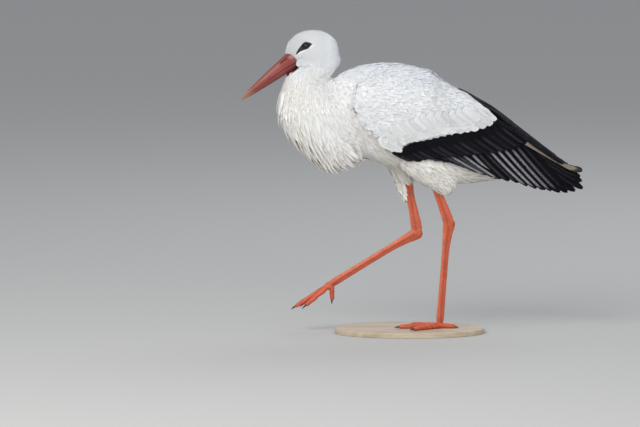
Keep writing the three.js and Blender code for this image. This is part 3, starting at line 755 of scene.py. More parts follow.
def nearest(p):
    """Closest points on the skin, with smooth normals."""
    q, nn = np.empty_like(p), np.empty_like(p)
    pm_ = put(p)
    find = BODY_TREE.find_nearest
    for i in range(len(p)):
        loc, _, k, _ = find(Vector(pm_[i]))
        q[i] = loc
        nn[i] = _poly_n[k]
    return q * 1000 - [0, 0, BASE_T], nn


# ------------------------------------------------------------------ feathers laid over the skin
class Coat:
    """Gathers vanes and turns them into one piece."""

    def __init__(self, name):
        self.name, self.v, self.f, self.uv, self.bake, self.tint, self.n = name, [], [], [], [], [], 0

    def add(self, verts, quads, uv, bake, tint):
        self.v.append(verts)
        self.f.append(quads + self.n)
        self.uv.append(uv)
        self.bake.append(bake)
        self.tint.append(tint)
        self.n += len(verts)

    def build(self, material, node_list, slot, smooth_faces=True):
        v, f = np.concatenate(self.v), np.concatenate(self.f)
        ob = mesh_object(self.name, v, f, smooth_faces)
        me = ob.data
        loops = np.empty(len(me.loops), np.int32)
        me.loops.foreach_get("vertex_index", loops)
        for name, data in (("Vane", self.uv), ("OFBake", self.bake)):
            layer = me.uv_layers.new(name=name)
            layer.data.foreach_set("uv", np.concatenate(data)[loops].astype(np.float32).ravel())
        col = me.color_attributes.new("Tint", "FLOAT_COLOR", "POINT")
        rgba = np.ones((len(v), 4), np.float32)
        rgba[:, : self.tint[0].shape[1]] = np.concatenate(self.tint)
        col.data.foreach_set("color", rgba.ravel())
        me.materials.append(material)
        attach(ob, "root")
        if node_list:
            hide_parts(*node_list)
        say(self.name, len(me.vertices), "vertices", len(me.polygons) * 2, "triangles")
        return ob


def bake_place(p):
    """An unwrap of the skin's own shape: head and neck round an upright axis, the rest round a lengthwise one."""
    up = smooth(-150, -190, p[:, 1])
    a1 = np.arctan2(p[:, 0], -(p[:, 1] + 200)) / (2 * np.pi) + 0.5
    v1 = (p[:, 2] - 330) / 345
    a2 = np.arctan2(p[:, 0], p[:, 2] - 440) / (2 * np.pi) + 0.5
    v2 = (p[:, 1] + 200) / 460
    head = up > 0.5
    u = np.where(head, a1 * 0.48 + 0.01, a2 * 0.48 + 0.51)
    w = np.where(head, v1, v2)
    return np.stack([u, np.clip(w, 0.01, 0.99)], 1)


ROUND = np.array([0.42, 0.80, 1.00, 1.00, 0.86, 0.62, 0.20])
LANCE = np.array([0.55, 0.92, 1.00, 0.84, 0.58, 0.34, 0.05])


def lay(coat, roots, par, tint, na=4, ns=6, yaw=None, lift=0.0, columns=None):
    """Lays one vane at each root. par's columns are PARAMS'. tint is (n, 3)."""
    N = len(roots)
    if not N:
        return
    L, W, D, P, K, F = (par[:, PARAMS.index(k)] for k in ("length", "width", "depth", "point", "stick", "loose"))
    L = L * rng.uniform(0.86, 1.14, N)
    W = W * rng.uniform(0.9, 1.1, N)
    yaw = (rng.normal(0, 1, N) * (0.05 + 0.13 * F)) if yaw is None else yaw
    s = np.linspace(0, 1, ns + 1) ** 0.85
    q, nn = nearest(roots)
    d, _, _ = groom(q)
    d = unit(d - nn * np.einsum("ij,ij->i", d, nn)[:, None])
    d = unit(d * np.cos(yaw)[:, None] + np.cross(nn, d) * np.sin(yaw)[:, None])
    top = D * rng.uniform(0.93, 1.05, N) + F * rng.gamma(1.2, 0.6, N) + lift
    base = np.minimum(0.10 * D, 0.6) - 0.5
    centre, normal = np.empty((ns + 1, N, 3)), np.empty((ns + 1, N, 3))
    p = q + nn * base[:, None]
    centre[0], normal[0] = p, nn
    for k in range(1, ns + 1):
        step = (L * (s[k] - s[k - 1]))[:, None]
        p = p + d * step
        q, nq = nearest(p)
        h = base + (top - base) * s[k] ** 0.9
        sd = np.einsum("ij,ij->i", p - q, nq)
        away = p - q
        dist = np.linalg.norm(away, axis=1)
        out = np.where((sd < 0)[:, None], nq, unit(away + nq * 1e-3))
        signed = np.where(sd < 0, -dist, dist)
        # pushed out where inside the coat's height, drawn in by its stickiness where it hangs free
        want = np.where(signed < h, h, signed + (h - signed) * K * 0.85)
        p = q + out * want[:, None]
        nn = unit(nn * 0.35 + out * 0.65)
        g, _, _ = groom(q)
        g = unit(g * np.cos(yaw)[:, None] + np.cross(nn, g) * np.sin(yaw)[:, None])
        d = unit(d + (g - d) * (0.25 + 0.5 * K)[:, None])
        d = np.where((K > 0.5)[:, None], unit(d - nn * np.einsum("ij,ij->i", d, nn)[:, None]), d)
        centre[k], normal[k] = p, nn
    tang = np.empty_like(centre)
    tang[1:-1] = centre[2:] - centre[:-2]
    tang[0], tang[-1] = centre[1] - centre[0], centre[-1] - centre[-2]
    tang = unit(tang)
    across = unit(np.cross(normal, tang))
    normal = unit(np.cross(tang, across))
    prof = np.interp(s, np.linspace(0, 1, 7), ROUND)[:, None] * (1 - P) + np.interp(s, np.linspace(0, 1, 7), LANCE)[:, None] * P
    half = prof * W / 2
    vs = np.linspace(-1, 1, na + 1) if columns is None else np.asarray(columns)
    ragged = rng.uniform(-1, 1, (N, len(vs))) * (0.02 + 0.09 * F)[:, None]
    verts = np.empty((N, ns + 1, len(vs), 3))
    for j, vv in enumerate(vs):
        drop = (0.045 + 0.10 * P) * vv * vv * half  # camber
        along = ragged[:, j] * L * (s[:, None] ** 3)  # (ns+1, N)
        tipcurve = -0.10 * vv * vv * L * (s[:, None] ** 4) * (1 - P)
        pt = centre + across * (vv * half)[:, :, None] - normal * drop[:, :, None] + tang * (along + tipcurve)[:, :, None]
        verts[:, :, j] = pt.transpose(1, 0, 2)
    m = (ns + 1) * len(vs)
    g = np.arange(m).reshape(ns + 1, len(vs))
    one = np.stack([g[:-1, :-1], g[:-1, 1:], g[1:, 1:], g[1:, :-1]], -1).reshape(-1, 4)
    quads = (one[None] + (np.arange(N) * m)[:, None, None]).reshape(-1, 4)
    uu, ss = np.meshgrid((vs + 1) / 2, s, indexing="xy")
    cell = np.stack([uu.ravel(), ss.ravel()], 1)  # (m, 2)
    seed = rng.uniform(0, 1, N)
    uv = cell[None] + np.stack([np.floor(seed * 40), np.floor(seed * 997 % 40)], 1)[:, None]
    place = bake_place(roots)
    bake = place[:, None] + (cell[None] - [0.5, 0.5]) * 0.003
    shade = np.repeat(tint, m, 0).reshape(N, ns + 1, len(vs), 3)
    # painted shade: each vane a little darker at its root, where the vanes over it shade it
    root_shade = (0.96 + 0.04 * smooth(0, 0.45, s))[None, :, None, None]
    coat.add(verts.reshape(-1, 3), quads, uv.reshape(-1, 2), np.clip(bake, 0.001, 0.999).reshape(-1, 2), (shade * root_shade).reshape(-1, 3))


def scatter(keep, spread=1.0, seed=3):
    """Roots over the skin, as dense as the groom's gap says, where keep(points, normals, params, labels) holds."""
    g = np.random.default_rng(seed)
    tri = []
    for p in _poly:
        tri.append(p[:3])
        if len(p) == 4:
            tri.append((p[0], p[2], p[3]))
    tri = np.array(tri)
    a, b, c = _bv[tri[:, 0]], _bv[tri[:, 1]], _bv[tri[:, 2]]
    nn = np.cross(b - a, c - a)
    area = np.linalg.norm(nn, axis=1) / 2
    nn = unit(nn)
    mid = (a + b + c) / 3
    _, pm_, lb = groom(mid)
    gap = pm_[:, PARAMS.index("gap")] * spread
    ok = keep(mid, nn, pm_, lb)
    weight = area / gap**2 * ok
    count = int(weight.sum() * 3.0)
    pick = g.choice(len(tri), count, p=weight / weight.sum())
    r1, r2 = np.sqrt(g.uniform(0, 1, count)), g.uniform(0, 1, count)
    pts = a[pick] * (1 - r1)[:, None] + b[pick] * (r1 * (1 - r2))[:, None] + c[pick] * (r1 * r2)[:, None]
    gp = gap[pick]
    kd = KDTree(count)
    for i, q in enumerate(pts):
        kd.insert(q, i)
    kd.balance()
    gone = np.zeros(count, bool)
    chosen = []
    for i in range(count):
        if gone[i]:
            continue
        chosen.append(i)
        for _, j, _ in kd.find_range(pts[i], gp[i] * 0.82):
            gone[j] = True
    return pts[chosen]


def colour(p, lab, n):
    """The coat's colour: white above, cream on the breast, belly and thighs, partly the plumage's own stain and partly
    painted warm under-light; a painted cool sky tint on the whites, a painted darker, bluer sky shade on the mantle,
    painted shade on the head and in the face's folds; a little uneven.
    """
    white, cream, warm = np.array([0.87, 0.87, 0.865]), np.array([0.86, 0.815, 0.735]), np.array([0.83, 0.80, 0.745])
    w = np.zeros(len(p))
    w = np.where(lab == LABELS.index("neck"), 0.35 * smooth(600, 540, p[:, 2]), w)
    w = np.where(lab == LABELS.index("breast"), 0.35 + 0.2 * smooth(480, 380, p[:, 2]), w)
    w = np.where(np.isin(lab, [LABELS.index(k) for k in ("belly", "thigh", "vent")]), 0.85, w)
    turn = np.arctan2(p[:, 0], -(p[:, 1] + 195)) + 0.0016 * (p[:, 2] - 450)
    ruff = np.isin(lab, [LABELS.index(k) for k in ("neck", "breast")])
    front = smooth(1.5, 0.7, np.abs(turn))
    w = np.where(ruff, w + front * 0.35 + 0.12 * np.sin(11 * turn + 0.7) + 0.08 * np.sin(23 * turn + 2.1 + 0.01 * p[:, 2]), w)
    w = w + rng.normal(0, 0.05, len(p))
    w = np.clip(w, 0, 1)[:, None]
    c = white * (1 - w) + cream * w
    # painted cool sky light: the whitest parts made a little bluer
    cool = smooth(0.55, 0.05, w[:, 0]) * smooth(-150, -120, p[:, 1] * 0 - 130)
    c = c * (1 - 0.025 * cool[:, None] * [1, 0.5, 0])
    # painted shade: the mantle darker and bluer, as if lit only by the sky, and the head darker
    mantle = (smooth(540, 574, p[:, 2]) * smooth(-186, -160, p[:, 1]))[:, None]
    crown = (smooth(556, 590, p[:, 2]) * smooth(-182, -200, p[:, 1]))[:, None]
    c = c * (1 - mantle * [0.11, 0.095, 0.055]) * (1 - crown * [0.09, 0.09, 0.08])
    # painted shade: vanes that end in the face's folds are darker
    if n is not None:
        c = c * (1 - 0.30 * np.exp(-((crease_distance(n) / 1.2) ** 2)))[:, None]
    return c * rng.normal(1, 0.012, (len(p), 1))


def on_wing(p, slack=16):
    x, _, off = wing_x(p[:, 1], p[:, 2])
    return (p[:, 1] > -126) & (p[:, 1] < 340) & (off < 6) & (np.abs(p[:, 0]) > x - slack)


def wanted(p, n, par, lab):
    x, _, off = wing_x(p[:, 1], p[:, 2])
    inside = (p[:, 1] > np.where(p[:, 2] > 470, -92, -120)) & (p[:, 1] < 340) & (off <= 0)
    out = on_wing(p)
    hidden = inside & ~out & (np.abs(p[:, 0]) < x - 16) & (lab != LABELS.index("back")) & (p[:, 2] < wing_at(p[:, 1])[:, 0] - 40)
    low, top = leaf_borders(p[:, 1], p[:, 2])
    crest = (np.abs(p[:, 0]) < 26) & (p[:, 1] > 97 + 2.1 * np.abs(p[:, 0])) & (p[:, 2] > 400)
    black = out & ((low < 7) | (top < 1)) | crest
    rump = (p[:, 1] > 58) & (top < 1) & (p[:, 2] > 385) | (p[:, 1] > 178) & (p[:, 2] > 372) | ~out & (p[:, 1] > 96) & (p[:, 2] > 395) & (p[:, 2] < wing_at(p[:, 1])[:, 0] - 22)
    slit = (np.abs(p[:, 0]) > 45) & (line_distance(SLIT, p[:, 1], p[:, 2]) < 3.2)
    shank_x = -50 + 16 * (440 - p[:, 2]) / 232.5
    opening = (p[:, 0] < 0) & (p[:, 0] > shank_x - 1) & (p[:, 2] < 345) & (p[:, 2] > 262) & (np.abs(p[:, 1] + 26 - 40 * (440 - p[:, 2]) / 232.5) < 9)
    bare = slit | opening | (patch_margin(p) > -0.6) | (horn_margin(p) > -0.3) | (horn_margin(p) > -1.8) & (bill_coords(p)[0] < 150) & (bill_coords(p)[1] < -4)
    ok = ~(hidden | black | rump | bare)
    return ok


def beyond(q):
    """Whether places on wing or back lie outside the white: under its lower border, past its hind point, or on the crest of the black."""
    low, top = leaf_borders(q[:, 1], q[:, 2])
    crest = (np.abs(q[:, 0]) < 26) & (q[:, 1] > 103 + 2.1 * np.abs(q[:, 0])) & (q[:, 2] > 400)
    return (low < 6) | (top < -1.5) | crest


def white_reach(roots, length, steps=9):
    """The share of its length that each vane can run along the coat before it leaves the white."""
    reach = np.ones(len(roots))
    q, nn = nearest(roots)
    p = q.copy()
    for k in range(1, steps + 1):
        g, _, _ = groom(q)
        g = unit(g - nn * np.einsum("ij,ij->i", g, nn)[:, None])
        p = q + g * (length * 1.12 / steps)[:, None]
        q, nn = nearest(p)
        reach = np.where((reach == 1) & beyond(q), (k - 0.75) / steps, reach)
    return reach


roots = scatter(wanted, 0.80)
d, par, lab = groom(roots)
say(len(roots), "roots")
# no white vane of the wing or back reaches past the leaf's border
on = (on_wing(roots) | (lab == LABELS.index("back"))) & (roots[:, 1] > -60)
reach = np.ones(len(roots))
reach[on] = white_reach(roots[on], par[on, 0])
over = (reach < 0.12) | on & (reach < 1) & (reach * par[:, 0] < 5)
par[:, 0] *= reach
par[:, 1] *= np.interp(reach, [0.1, 0.6], [0.7, 1])
roots, par, lab, d = roots[~over], par[~over], lab[~over], d[~over]
# along that border the shortened vanes stand closer
more = scatter(lambda p_, n_, par_, lab_: wanted(p_, n_, par_, lab_) & (p_[:, 1] > 20) & ((lab_ == LABELS.index("back")) | (lab_ == LABELS.index("wing"))), 0.42, seed=19)
d2, par2, lab2 = groom(more)
reach = white_reach(more, par2[:, 0])
edge_row = (reach < 1) & (reach > 0.12) & (reach * par2[:, 0] >= 5)
more, d2, par2, lab2, reach = more[edge_row], d2[edge_row], par2[edge_row], lab2[edge_row], reach[edge_row]
par2[:, 0] *= reach
par2[:, 1] *= np.interp(reach, [0.1, 0.6], [0.8, 1])
par2[:, PARAMS.index("depth")] *= 0.93
say(len(more), "more vanes along the white's border")
roots, par, lab, d = np.concatenate([roots, more]), np.concatenate([par, par2]), np.concatenate([lab, lab2]), np.concatenate([d, d2])
# vanes stop at the bare skin
cut = np.ones(len(roots))
for k in np.linspace(1, 0.1, 10):
    cut = np.where(patch_margin(roots + d * par[:, :1] * k * 1.1) > -0.25, k - 0.06, cut)
par[:, 0] *= np.maximum(cut, 0.15)
keep = ~((cut < 0.3) & (par[:, 0] < 1.4))
roots, par, lab, d = roots[keep], par[keep], lab[keep], d[keep]
# neck and breast plumes pass under the wing's leading edge, not over it
_front = track([[396, -22], [402, -34], [420, -64], [440, -97], [462, -116], [482, -126], [512, -128], [536, -118], [556, -98], [574, -62], [582, -30]])
free = ~on_wing(roots) & (np.abs(roots[:, 0]) > 40) & (lab != LABELS.index("back")) & (lab != LABELS.index("wing"))
hit = np.ones(len(roots))
for k in np.linspace(1, 0.1, 12):
    q = roots + d * par[:, :1] * k
    inside = (q[:, 1] > _front(np.clip(q[:, 2], 396, 582))[:, 0] - 1) & (q[:, 2] > 398) & (q[:, 2] < 486)
    hit = np.where(inside, k - 0.08, hit)
short = free & (hit < 1)
par[:, 0] *= np.where(short, np.maximum(hit, 0.12), 1)
keep = ~(short & (par[:, 0] < 5))
roots, par, lab, d = roots[keep], par[keep], lab[keep], d[keep]
pierce = np.zeros(len(roots), bool)
for k in np.linspace(0.3, 1.1, 9):
    q = roots + d * par[:, :1] * k
    pierce |= (q[:, 2] < 298) & (np.abs(q[:, 1] + 26 - 40 * (440 - q[:, 2]) / 232.5) < 5) & (np.abs(q[:, 0] + 50 - 16 * (440 - q[:, 2]) / 232.5) < 9)
pierce &= (lab == LABELS.index("thigh")) & (roots[:, 0] < 0)
roots, par, lab, d = roots[~pierce], par[~pierce], lab[~pierce], d[~pierce]
tints = colour(roots, lab, roots + d * par[:, :1] * 0.65)
left = roots[:, 0] >= 0
names = np.array(LABELS)[lab]
coats = {}
for key, mask, na, ns in (
    ("coat_head", names == "head", 4, 5),
    ("coat_neck", names == "neck", 4, 7),
    ("coat_breast", names == "breast", 4, 10),
    ("coat_back", names == "back", 6, 8),
    ("coat_wing_left", (names == "wing") & left, 6, 8),
    ("coat_wing_right", (names == "wing") & ~left, 6, 8),
    ("coat_belly", (names == "belly") | (names == "vent"), 4, 8),
    ("coat_thighs", names == "thigh", 4, 7),
):
    coats[key] = Coat(key)
    lay(coats[key], roots[mask], par[mask], tints[mask], na, ns)
    say(key, int(mask.sum()), "vanes")

# the ruff's longest plumes: straight, pointed, ending in the air on the breast's outer form
g = np.random.default_rng(77)


def neck_place(z, a):
    front, back, side = neck_at(np.clip(z, 334, 626)).T
    shrink = np.sqrt(np.clip((z - 334) / 9, 0, 1))
    return np.stack([shrink * side * np.sin(a), (front + back) / 2 + shrink * (back - front) * np.cos(a) / 2, z], 1)


cand_z = g.uniform(336, 486, 9000)
cand_a = g.uniform(0, 2 * np.pi, 9000)
ends = neck_place(cand_z, cand_a)
ahead = np.abs(cand_a - np.pi)  # 0 in front
ok = (cand_z < np.interp(ahead, [0, 0.8, 1.6, 2.2, np.pi], [484, 462, 420, 392, 372])) & (ends[:, 1] < -104)
ends, ahead = ends[ok], ahead[ok]
kd = KDTree(len(ends))
for i, q in enumerate(ends):
    kd.insert(q, i)
kd.balance()
gone, picked = np.zeros(len(ends), bool), []
for i in range(len(ends)):
    if gone[i]:
        continue
    picked.append(i)
    for _, j, _ in kd.find_range(ends[i], 7.6):
        gone[j] = True
ends, ahead = ends[picked], ahead[picked]
loose_ends = np.array([(-7, -264, 414), (1, -267, 411), (8, -265, 413), (-4, -293, 473), (5, -292.5, 475), (0, -283, 441), (7, -281, 443), (-6, -236, 383), (4, -237, 382)], float)
ends, ahead = np.concatenate([ends, loose_ends]), np.concatenate([ahead, np.zeros(len(loose_ends))])
flow, _, _ = groom(ends)
flow = unit(flow * [1, 0.85, 1] + g.normal(0, 0.035, flow.shape))
N = len(ends)
long = g.uniform(48, 68, N) * np.interp(ends[:, 2], [336, 380, 486], [0.8, 1.0, 0.85])
tops = ends - flow * long[:, None]
_f, _b, _s = neck_at(np.clip(tops[:, 2], 334, 626)).T
_turn = np.arctan2(tops[:, 0] / np.maximum(_s, 5), (tops[:, 1] - (_f + _b) / 2) / np.maximum((_b - _f) / 2, 5))
on_form = neck_place(tops[:, 2], _turn)
q, nn = nearest(on_form)
starts = q + nn * 1.0
ends = ends + flow * g.normal(0, 3.5, N)[:, None] + nn * g.uniform(-0.5, 1.5, N)[:, None]
ends = np.where((g.uniform(0, 1, N) < 0.06)[:, None], ends + flow * 8 + nn * 2, ends)
_, n_end = nearest(ends)
ns, na = 10, 4
s_ = np.linspace(0, 1, ns + 1) ** 0.9
vs = np.linspace(-1, 1, na + 1)
wide = g.uniform(8.5, 13, N)
prof = np.interp(s_, np.linspace(0, 1, 7), [0.5, 0.85, 1.0, 0.96, 0.78, 0.46, 0.04])
chord = ends - starts
bow = unit(nn + n_end)
centre = starts[None] + chord[None] * s_[:, None, None] + bow[None] * (4 * s_ * (1 - s_) * 2.6)[:, None, None]
tang = unit(np.gradient(centre, axis=0))
spin = g.normal(0, 0.13, N)
across = unit(np.cross(bow[None], tang))
up_ = unit(np.cross(tang, across))
across = across * np.cos(spin)[None, :, None] + up_ * np.sin(spin)[None, :, None]
up_ = unit(np.cross(tang, across))
verts = np.empty((N, ns + 1, na + 1, 3))
for j, vv in enumerate(vs):
    half = (prof[:, None] * wide[None] / 2)[:, :, None]
    verts[:, :, j] = (centre + across * vv * half - up_ * (0.16 * vv * vv) * half).transpose(1, 0, 2)
m = (ns + 1) * (na + 1)
grid = np.arange(m).reshape(ns + 1, na + 1)
one = np.stack([grid[:-1, :-1], grid[:-1, 1:], grid[1:, 1:], grid[1:, :-1]], -1).reshape(-1, 4)
quads = (one[None] + (np.arange(N) * m)[:, None, None]).reshape(-1, 4)
uu, ss = np.meshgrid((vs + 1) / 2, s_, indexing="xy")
cell = np.stack([uu.ravel(), ss.ravel()], 1)
uv = cell[None] + np.stack([np.floor(g.uniform(0, 40, N)), np.floor(g.uniform(0, 40, N))], 1)[:, None]
bake = bake_place(starts)[:, None] + (cell[None] - [0.5, 0.5]) * 0.003
shade = np.repeat(colour(starts, np.full(N, LABELS.index("breast")), None), m, 0)
coats["coat_ruff"] = Coat("coat_ruff")
coats["coat_ruff"].add(verts.reshape(-1, 3), quads, uv.reshape(-1, 2), np.clip(bake, 0.001, 0.999).reshape(-1, 2), shade)
say("ruff plumes", N)

# ------------------------------------------------------------------ materials
def material(name, base=(0.8, 0.8, 0.8), rough=0.6, **sockets):
    m = bpy.data.materials.new(name)
    m.use_nodes = True
    b = m.node_tree.nodes["Principled BSDF"]
    b.inputs["Base Color"].default_value = (*base, 1)
    b.inputs["Roughness"].default_value = rough
    for k, val in sockets.items():
        b.inputs[k.replace("_", " ")].default_value = val
    return m, m.node_tree, b


def node(nt, kind, **props):
    nd = nt.nodes.new(kind)
    for k, val in props.items():
        if k in nd.inputs:
            nd.inputs[k].default_value = val
        else:
            setattr(nd, k, val)
    return nd


def plume(name, bump=0.25, contrast=0.06, rough=0.78, sheen=0.15):
    """Feather: its Tint attribute, with paler and darker barbs slanting off the shaft."""
    m, nt, b = material(name, rough=rough)
    b.inputs["Sheen Weight"].default_value = sheen
    b.inputs["Sheen Roughness"].default_value = 0.5
    b.inputs["Subsurface Weight"].default_value = 0.35
    b.inputs["Subsurface Radius"].default_value = (1.0, 0.92, 0.85)
    b.inputs["Subsurface Scale"].default_value = 0.005
    link = nt.links.new
    tint = node(nt, "ShaderNodeAttribute", attribute_name="Tint")
    uv = node(nt, "ShaderNodeUVMap", uv_map="Vane")
    sep = node(nt, "ShaderNodeSeparateXYZ")
    link(uv.outputs[0], sep.inputs[0])
    fr = node(nt, "ShaderNodeMath", operation="FRACT")
    link(sep.outputs[0], fr.inputs[0])
    off = node(nt, "ShaderNodeMath", operation="SUBTRACT")
    link(fr.outputs[0], off.inputs[0])
    off.inputs[1].default_value = 0.5
    ab = node(nt, "ShaderNodeMath", operation="ABSOLUTE")
    link(off.outputs[0], ab.inputs[0])
    slant = node(nt, "ShaderNodeMath", operation="MULTIPLY_ADD")
    link(ab.outputs[0], slant.inputs[0])
    slant.inputs[1].default_value = -0.9
    link(sep.outputs[1], slant.inputs[2])
    comb = node(nt, "ShaderNodeCombineXYZ")
    link(slant.outputs[0], comb.inputs[0])
    link(sep.outputs[0], comb.inputs[1])
    noise = node(nt, "ShaderNodeTexNoise", noise_dimensions="2D", Scale=26.0, Detail=2.0, Roughness=0.6)
    scale = node(nt, "ShaderNodeVectorMath", operation="MULTIPLY")
    scale.inputs[1].default_value = (1.0, 0.06, 0.0)
    link(comb.outputs[0], scale.inputs[0])
    link(scale.outputs[0], noise.inputs["Vector"])
    ramp = node(nt, "ShaderNodeMapRange")
    link(noise.outputs[0], ramp.inputs[0])
    ramp.inputs["From Min"].default_value, ramp.inputs["From Max"].default_value = 0.3, 0.7
    ramp.inputs["To Min"].default_value, ramp.inputs["To Max"].default_value = 1 - contrast, 1 + contrast * 0.6
    mul = node(nt, "ShaderNodeVectorMath", operation="SCALE")
    link(tint.outputs["Color"], mul.inputs[0])
    link(ramp.outputs[0], mul.inputs["Scale"])
    link(mul.outputs[0], b.inputs["Base Color"])
    bp = node(nt, "ShaderNodeBump")
    bp.inputs["Strength"].default_value = bump
    bp.inputs["Distance"].default_value = 0.0006
    link(noise.outputs[0], bp.inputs["Height"])
    link(bp.outputs[0], b.inputs["Normal"])
    return m


PLUME = plume("plume_white")
SKIN, nt, b = material("skin", rough=0.5)
link = nt.links.new
att = node(nt, "ShaderNodeAttribute", attribute_name="Tint")
co = node(nt, "ShaderNodeTexCoord")
cells = node(nt, "ShaderNodeTexVoronoi", feature="DISTANCE_TO_EDGE", Scale=330.0)
shade = node(nt, "ShaderNodeTexVoronoi", feature="F1", Scale=330.0)
nz = node(nt, "ShaderNodeTexNoise", Scale=45.0, Detail=4.0)
for t_ in (cells, shade, nz):
    link(co.outputs["Object"], t_.inputs["Vector"])
edge = node(nt, "ShaderNodeMapRange", interpolation_type="SMOOTHSTEP")
link(cells.outputs["Distance"], edge.inputs["Value"])
edge.inputs["From Max"].default_value = 0.16
edge.inputs["To Min"].default_value, edge.inputs["To Max"].default_value = 0.62, 1.06
patchy = node(nt, "ShaderNodeMapRange")
link(nz.outputs[0], patchy.inputs["Value"])
patchy.inputs["From Min"].default_value, patchy.inputs["From Max"].default_value = 0.3, 0.7
patchy.inputs["To Min"].default_value, patchy.inputs["To Max"].default_value = 0.84, 1.12
cell_c = node(nt, "ShaderNodeSeparateColor")
link(shade.outputs["Color"], cell_c.inputs[0])
each = node(nt, "ShaderNodeMapRange")
link(cell_c.outputs[0], each.inputs["Value"])
each.inputs["To Min"].default_value, each.inputs["To Max"].default_value = 0.9, 1.08
mul1 = node(nt, "ShaderNodeMath", operation="MULTIPLY")
link(edge.outputs["Result"], mul1.inputs[0])
link(each.outputs["Result"], mul1.inputs[1])
mul2 = node(nt, "ShaderNodeMath", operation="MULTIPLY")
link(mul1.outputs[0], mul2.inputs[0])
link(patchy.outputs["Result"], mul2.inputs[1])
sel = node(nt, "ShaderNodeMix", data_type="FLOAT")
link(att.outputs["Alpha"], sel.inputs["Factor"])
sel.inputs["A"].default_value = 1.0
link(mul2.outputs[0], sel.inputs["B"])
sc = node(nt, "ShaderNodeVectorMath", operation="SCALE")
link(att.outputs["Color"], sc.inputs[0])
link(sel.outputs["Result"], sc.inputs["Scale"])
link(sc.outputs[0], b.inputs["Base Color"])
bp = node(nt, "ShaderNodeBump")
bp.inputs["Strength"].default_value, bp.inputs["Distance"].default_value = 0.55, 0.0005
link(edge.outputs["Result"], bp.inputs["Height"])
link(bp.outputs[0], b.inputs["Normal"])

LEGS = leg_shapes("left") + leg_shapes("right")
body = united(body.copy(), LEGS, "skin_union")
v = vertices_mm(body)
v[:, 2] = np.maximum(v[:, 2], 0.0)
set_vertices_mm(body, v)
# soften the webs between toes, pad and shank
near = np.zeros(len(v))
for side_name in ("left", "right"):
    for key, reach in (("foot", 17), ("ankle", 15)):
        near = np.maximum(near, smooth(reach + 5, reach - 4, np.linalg.norm(v - np.array(LEG[side_name][key], float), axis=1)))
relax(body, 4, 0.5, near)
v = vertices_mm(body)
v[:, 2] = np.maximum(v[:, 2], 0.0)
set_vertices_mm(body, v)
say("skin with legs", len(v), "vertices", len(body.polygons), "faces")

skin = bpy.data.objects.new("skin", body)
bpy.context.scene.collection.objects.link(skin)
# LEG_PALE is a painted highlight colour, laid along the legs' front and back edges
LEG_RED, LEG_PALE = np.array([0.62, 0.105, 0.040]), np.array([0.80, 0.24, 0.12])


def leg_tint(p):
    """Leg colour, with painted shade down the groove and a painted highlight (LEG_PALE) on the front and back edges,
    and how much of a leg a place is (0 on the feathered body).
    """
    amount, c = np.zeros(len(p)), np.repeat(LEG_RED[None], len(p), 0)
    groove, shin = np.zeros(len(p)), np.zeros(len(p))
    for side_name in ("left", "right"):
        j = {k: np.array(q, float) for k, q in LEG[side_name].items()}
        for a_, b_, r_ in ((j["knee"] + (j["ankle"] - j["knee"]) * 0.3, j["ankle"], 15.0), (j["ankle"], j["foot"], 19.0)):
            ax = b_ - a_
            u = np.clip((p - a_) @ ax / (ax @ ax), 0, 1)
            rel = p - a_ - np.outer(u, ax)
            off = np.linalg.norm(rel, axis=1)
            amount = np.maximum(amount, smooth(r_ + 0.8, r_ - 0.8, off))
            fwd = unit(np.cross(ax, (1.0, 0, 0)))
            ang = np.arctan2(rel @ fwd, np.abs(rel[:, 0]))
            here = (off < r_ + 1) * smooth(0.0, 0.03, u) * smooth(1.0, 0.97, u)
            groove = np.maximum(groove, here * np.exp(-(((ang + 0.16) / 0.26) ** 2)))
            shin = np.maximum(shin, here * np.maximum(smooth(0.45, 1.0, ang), 0.7 * smooth(-0.7, -1.1, ang)))
        foot = np.linalg.norm(p - j["foot"], axis=1)
        amount = np.maximum(amount, (foot < 125) & (p[:, 2] < 150))
    # painted shade down the groove; painted highlight on the front and back edges
    c = c * (1 - 0.42 * groove)[:, None]
    c = c * (1 - 0.55 * shin)[:, None] + LEG_PALE * (0.55 * shin)[:, None]
    return amount, c


rgba = np.ones((len(v), 4), np.float32)
rgba[:, :3] = (0.80, 0.775, 0.735)
rgba[horn_margin(v) > -0.4, :3] = (0.34, 0.045, 0.03)
hm = horn_margin(v)
# painted shadow: the face skin along the lower mandible's edge is dark red-black, standing for the shade between bill
# and chin
rgba[(hm > -1.5) & (hm < 1.2) & (bill_coords(v)[0] < 150) & (bill_coords(v)[1] < -4), :3] = (0.055, 0.018, 0.015)
rgba[patch_margin(v) > -0.35, :3] = (0.0025, 0.0025, 0.003)
# painted shade: the folds behind the gape drawn dark on the skin
rgba[(crease_distance(v) < 1.0) & (np.abs(v[:, 0]) > 8), :3] = (0.22, 0.13, 0.11)
low_, top_ = leaf_borders(v[:, 1], v[:, 2])
rgba[(np.abs(v[:, 0]) > 1) & ((low_ < 3) | (top_ < -7)) & (v[:, 1] > -30) & (wing_x(v[:, 1], v[:, 2])[2] < 5) & (np.abs(v[:, 0]) > wing_x(v[:, 1], v[:, 2])[0] - 20), :3] = (0.02, 0.02, 0.024)
rgba[(v[:, 1] > 104) & ((low_ < 1) | (top_ < -7) | (np.abs(v[:, 0]) < 26) & (v[:, 1] > 111 + 2.1 * np.abs(v[:, 0]))) & (v[:, 2] > 400), :3] = (0.012, 0.012, 0.014)
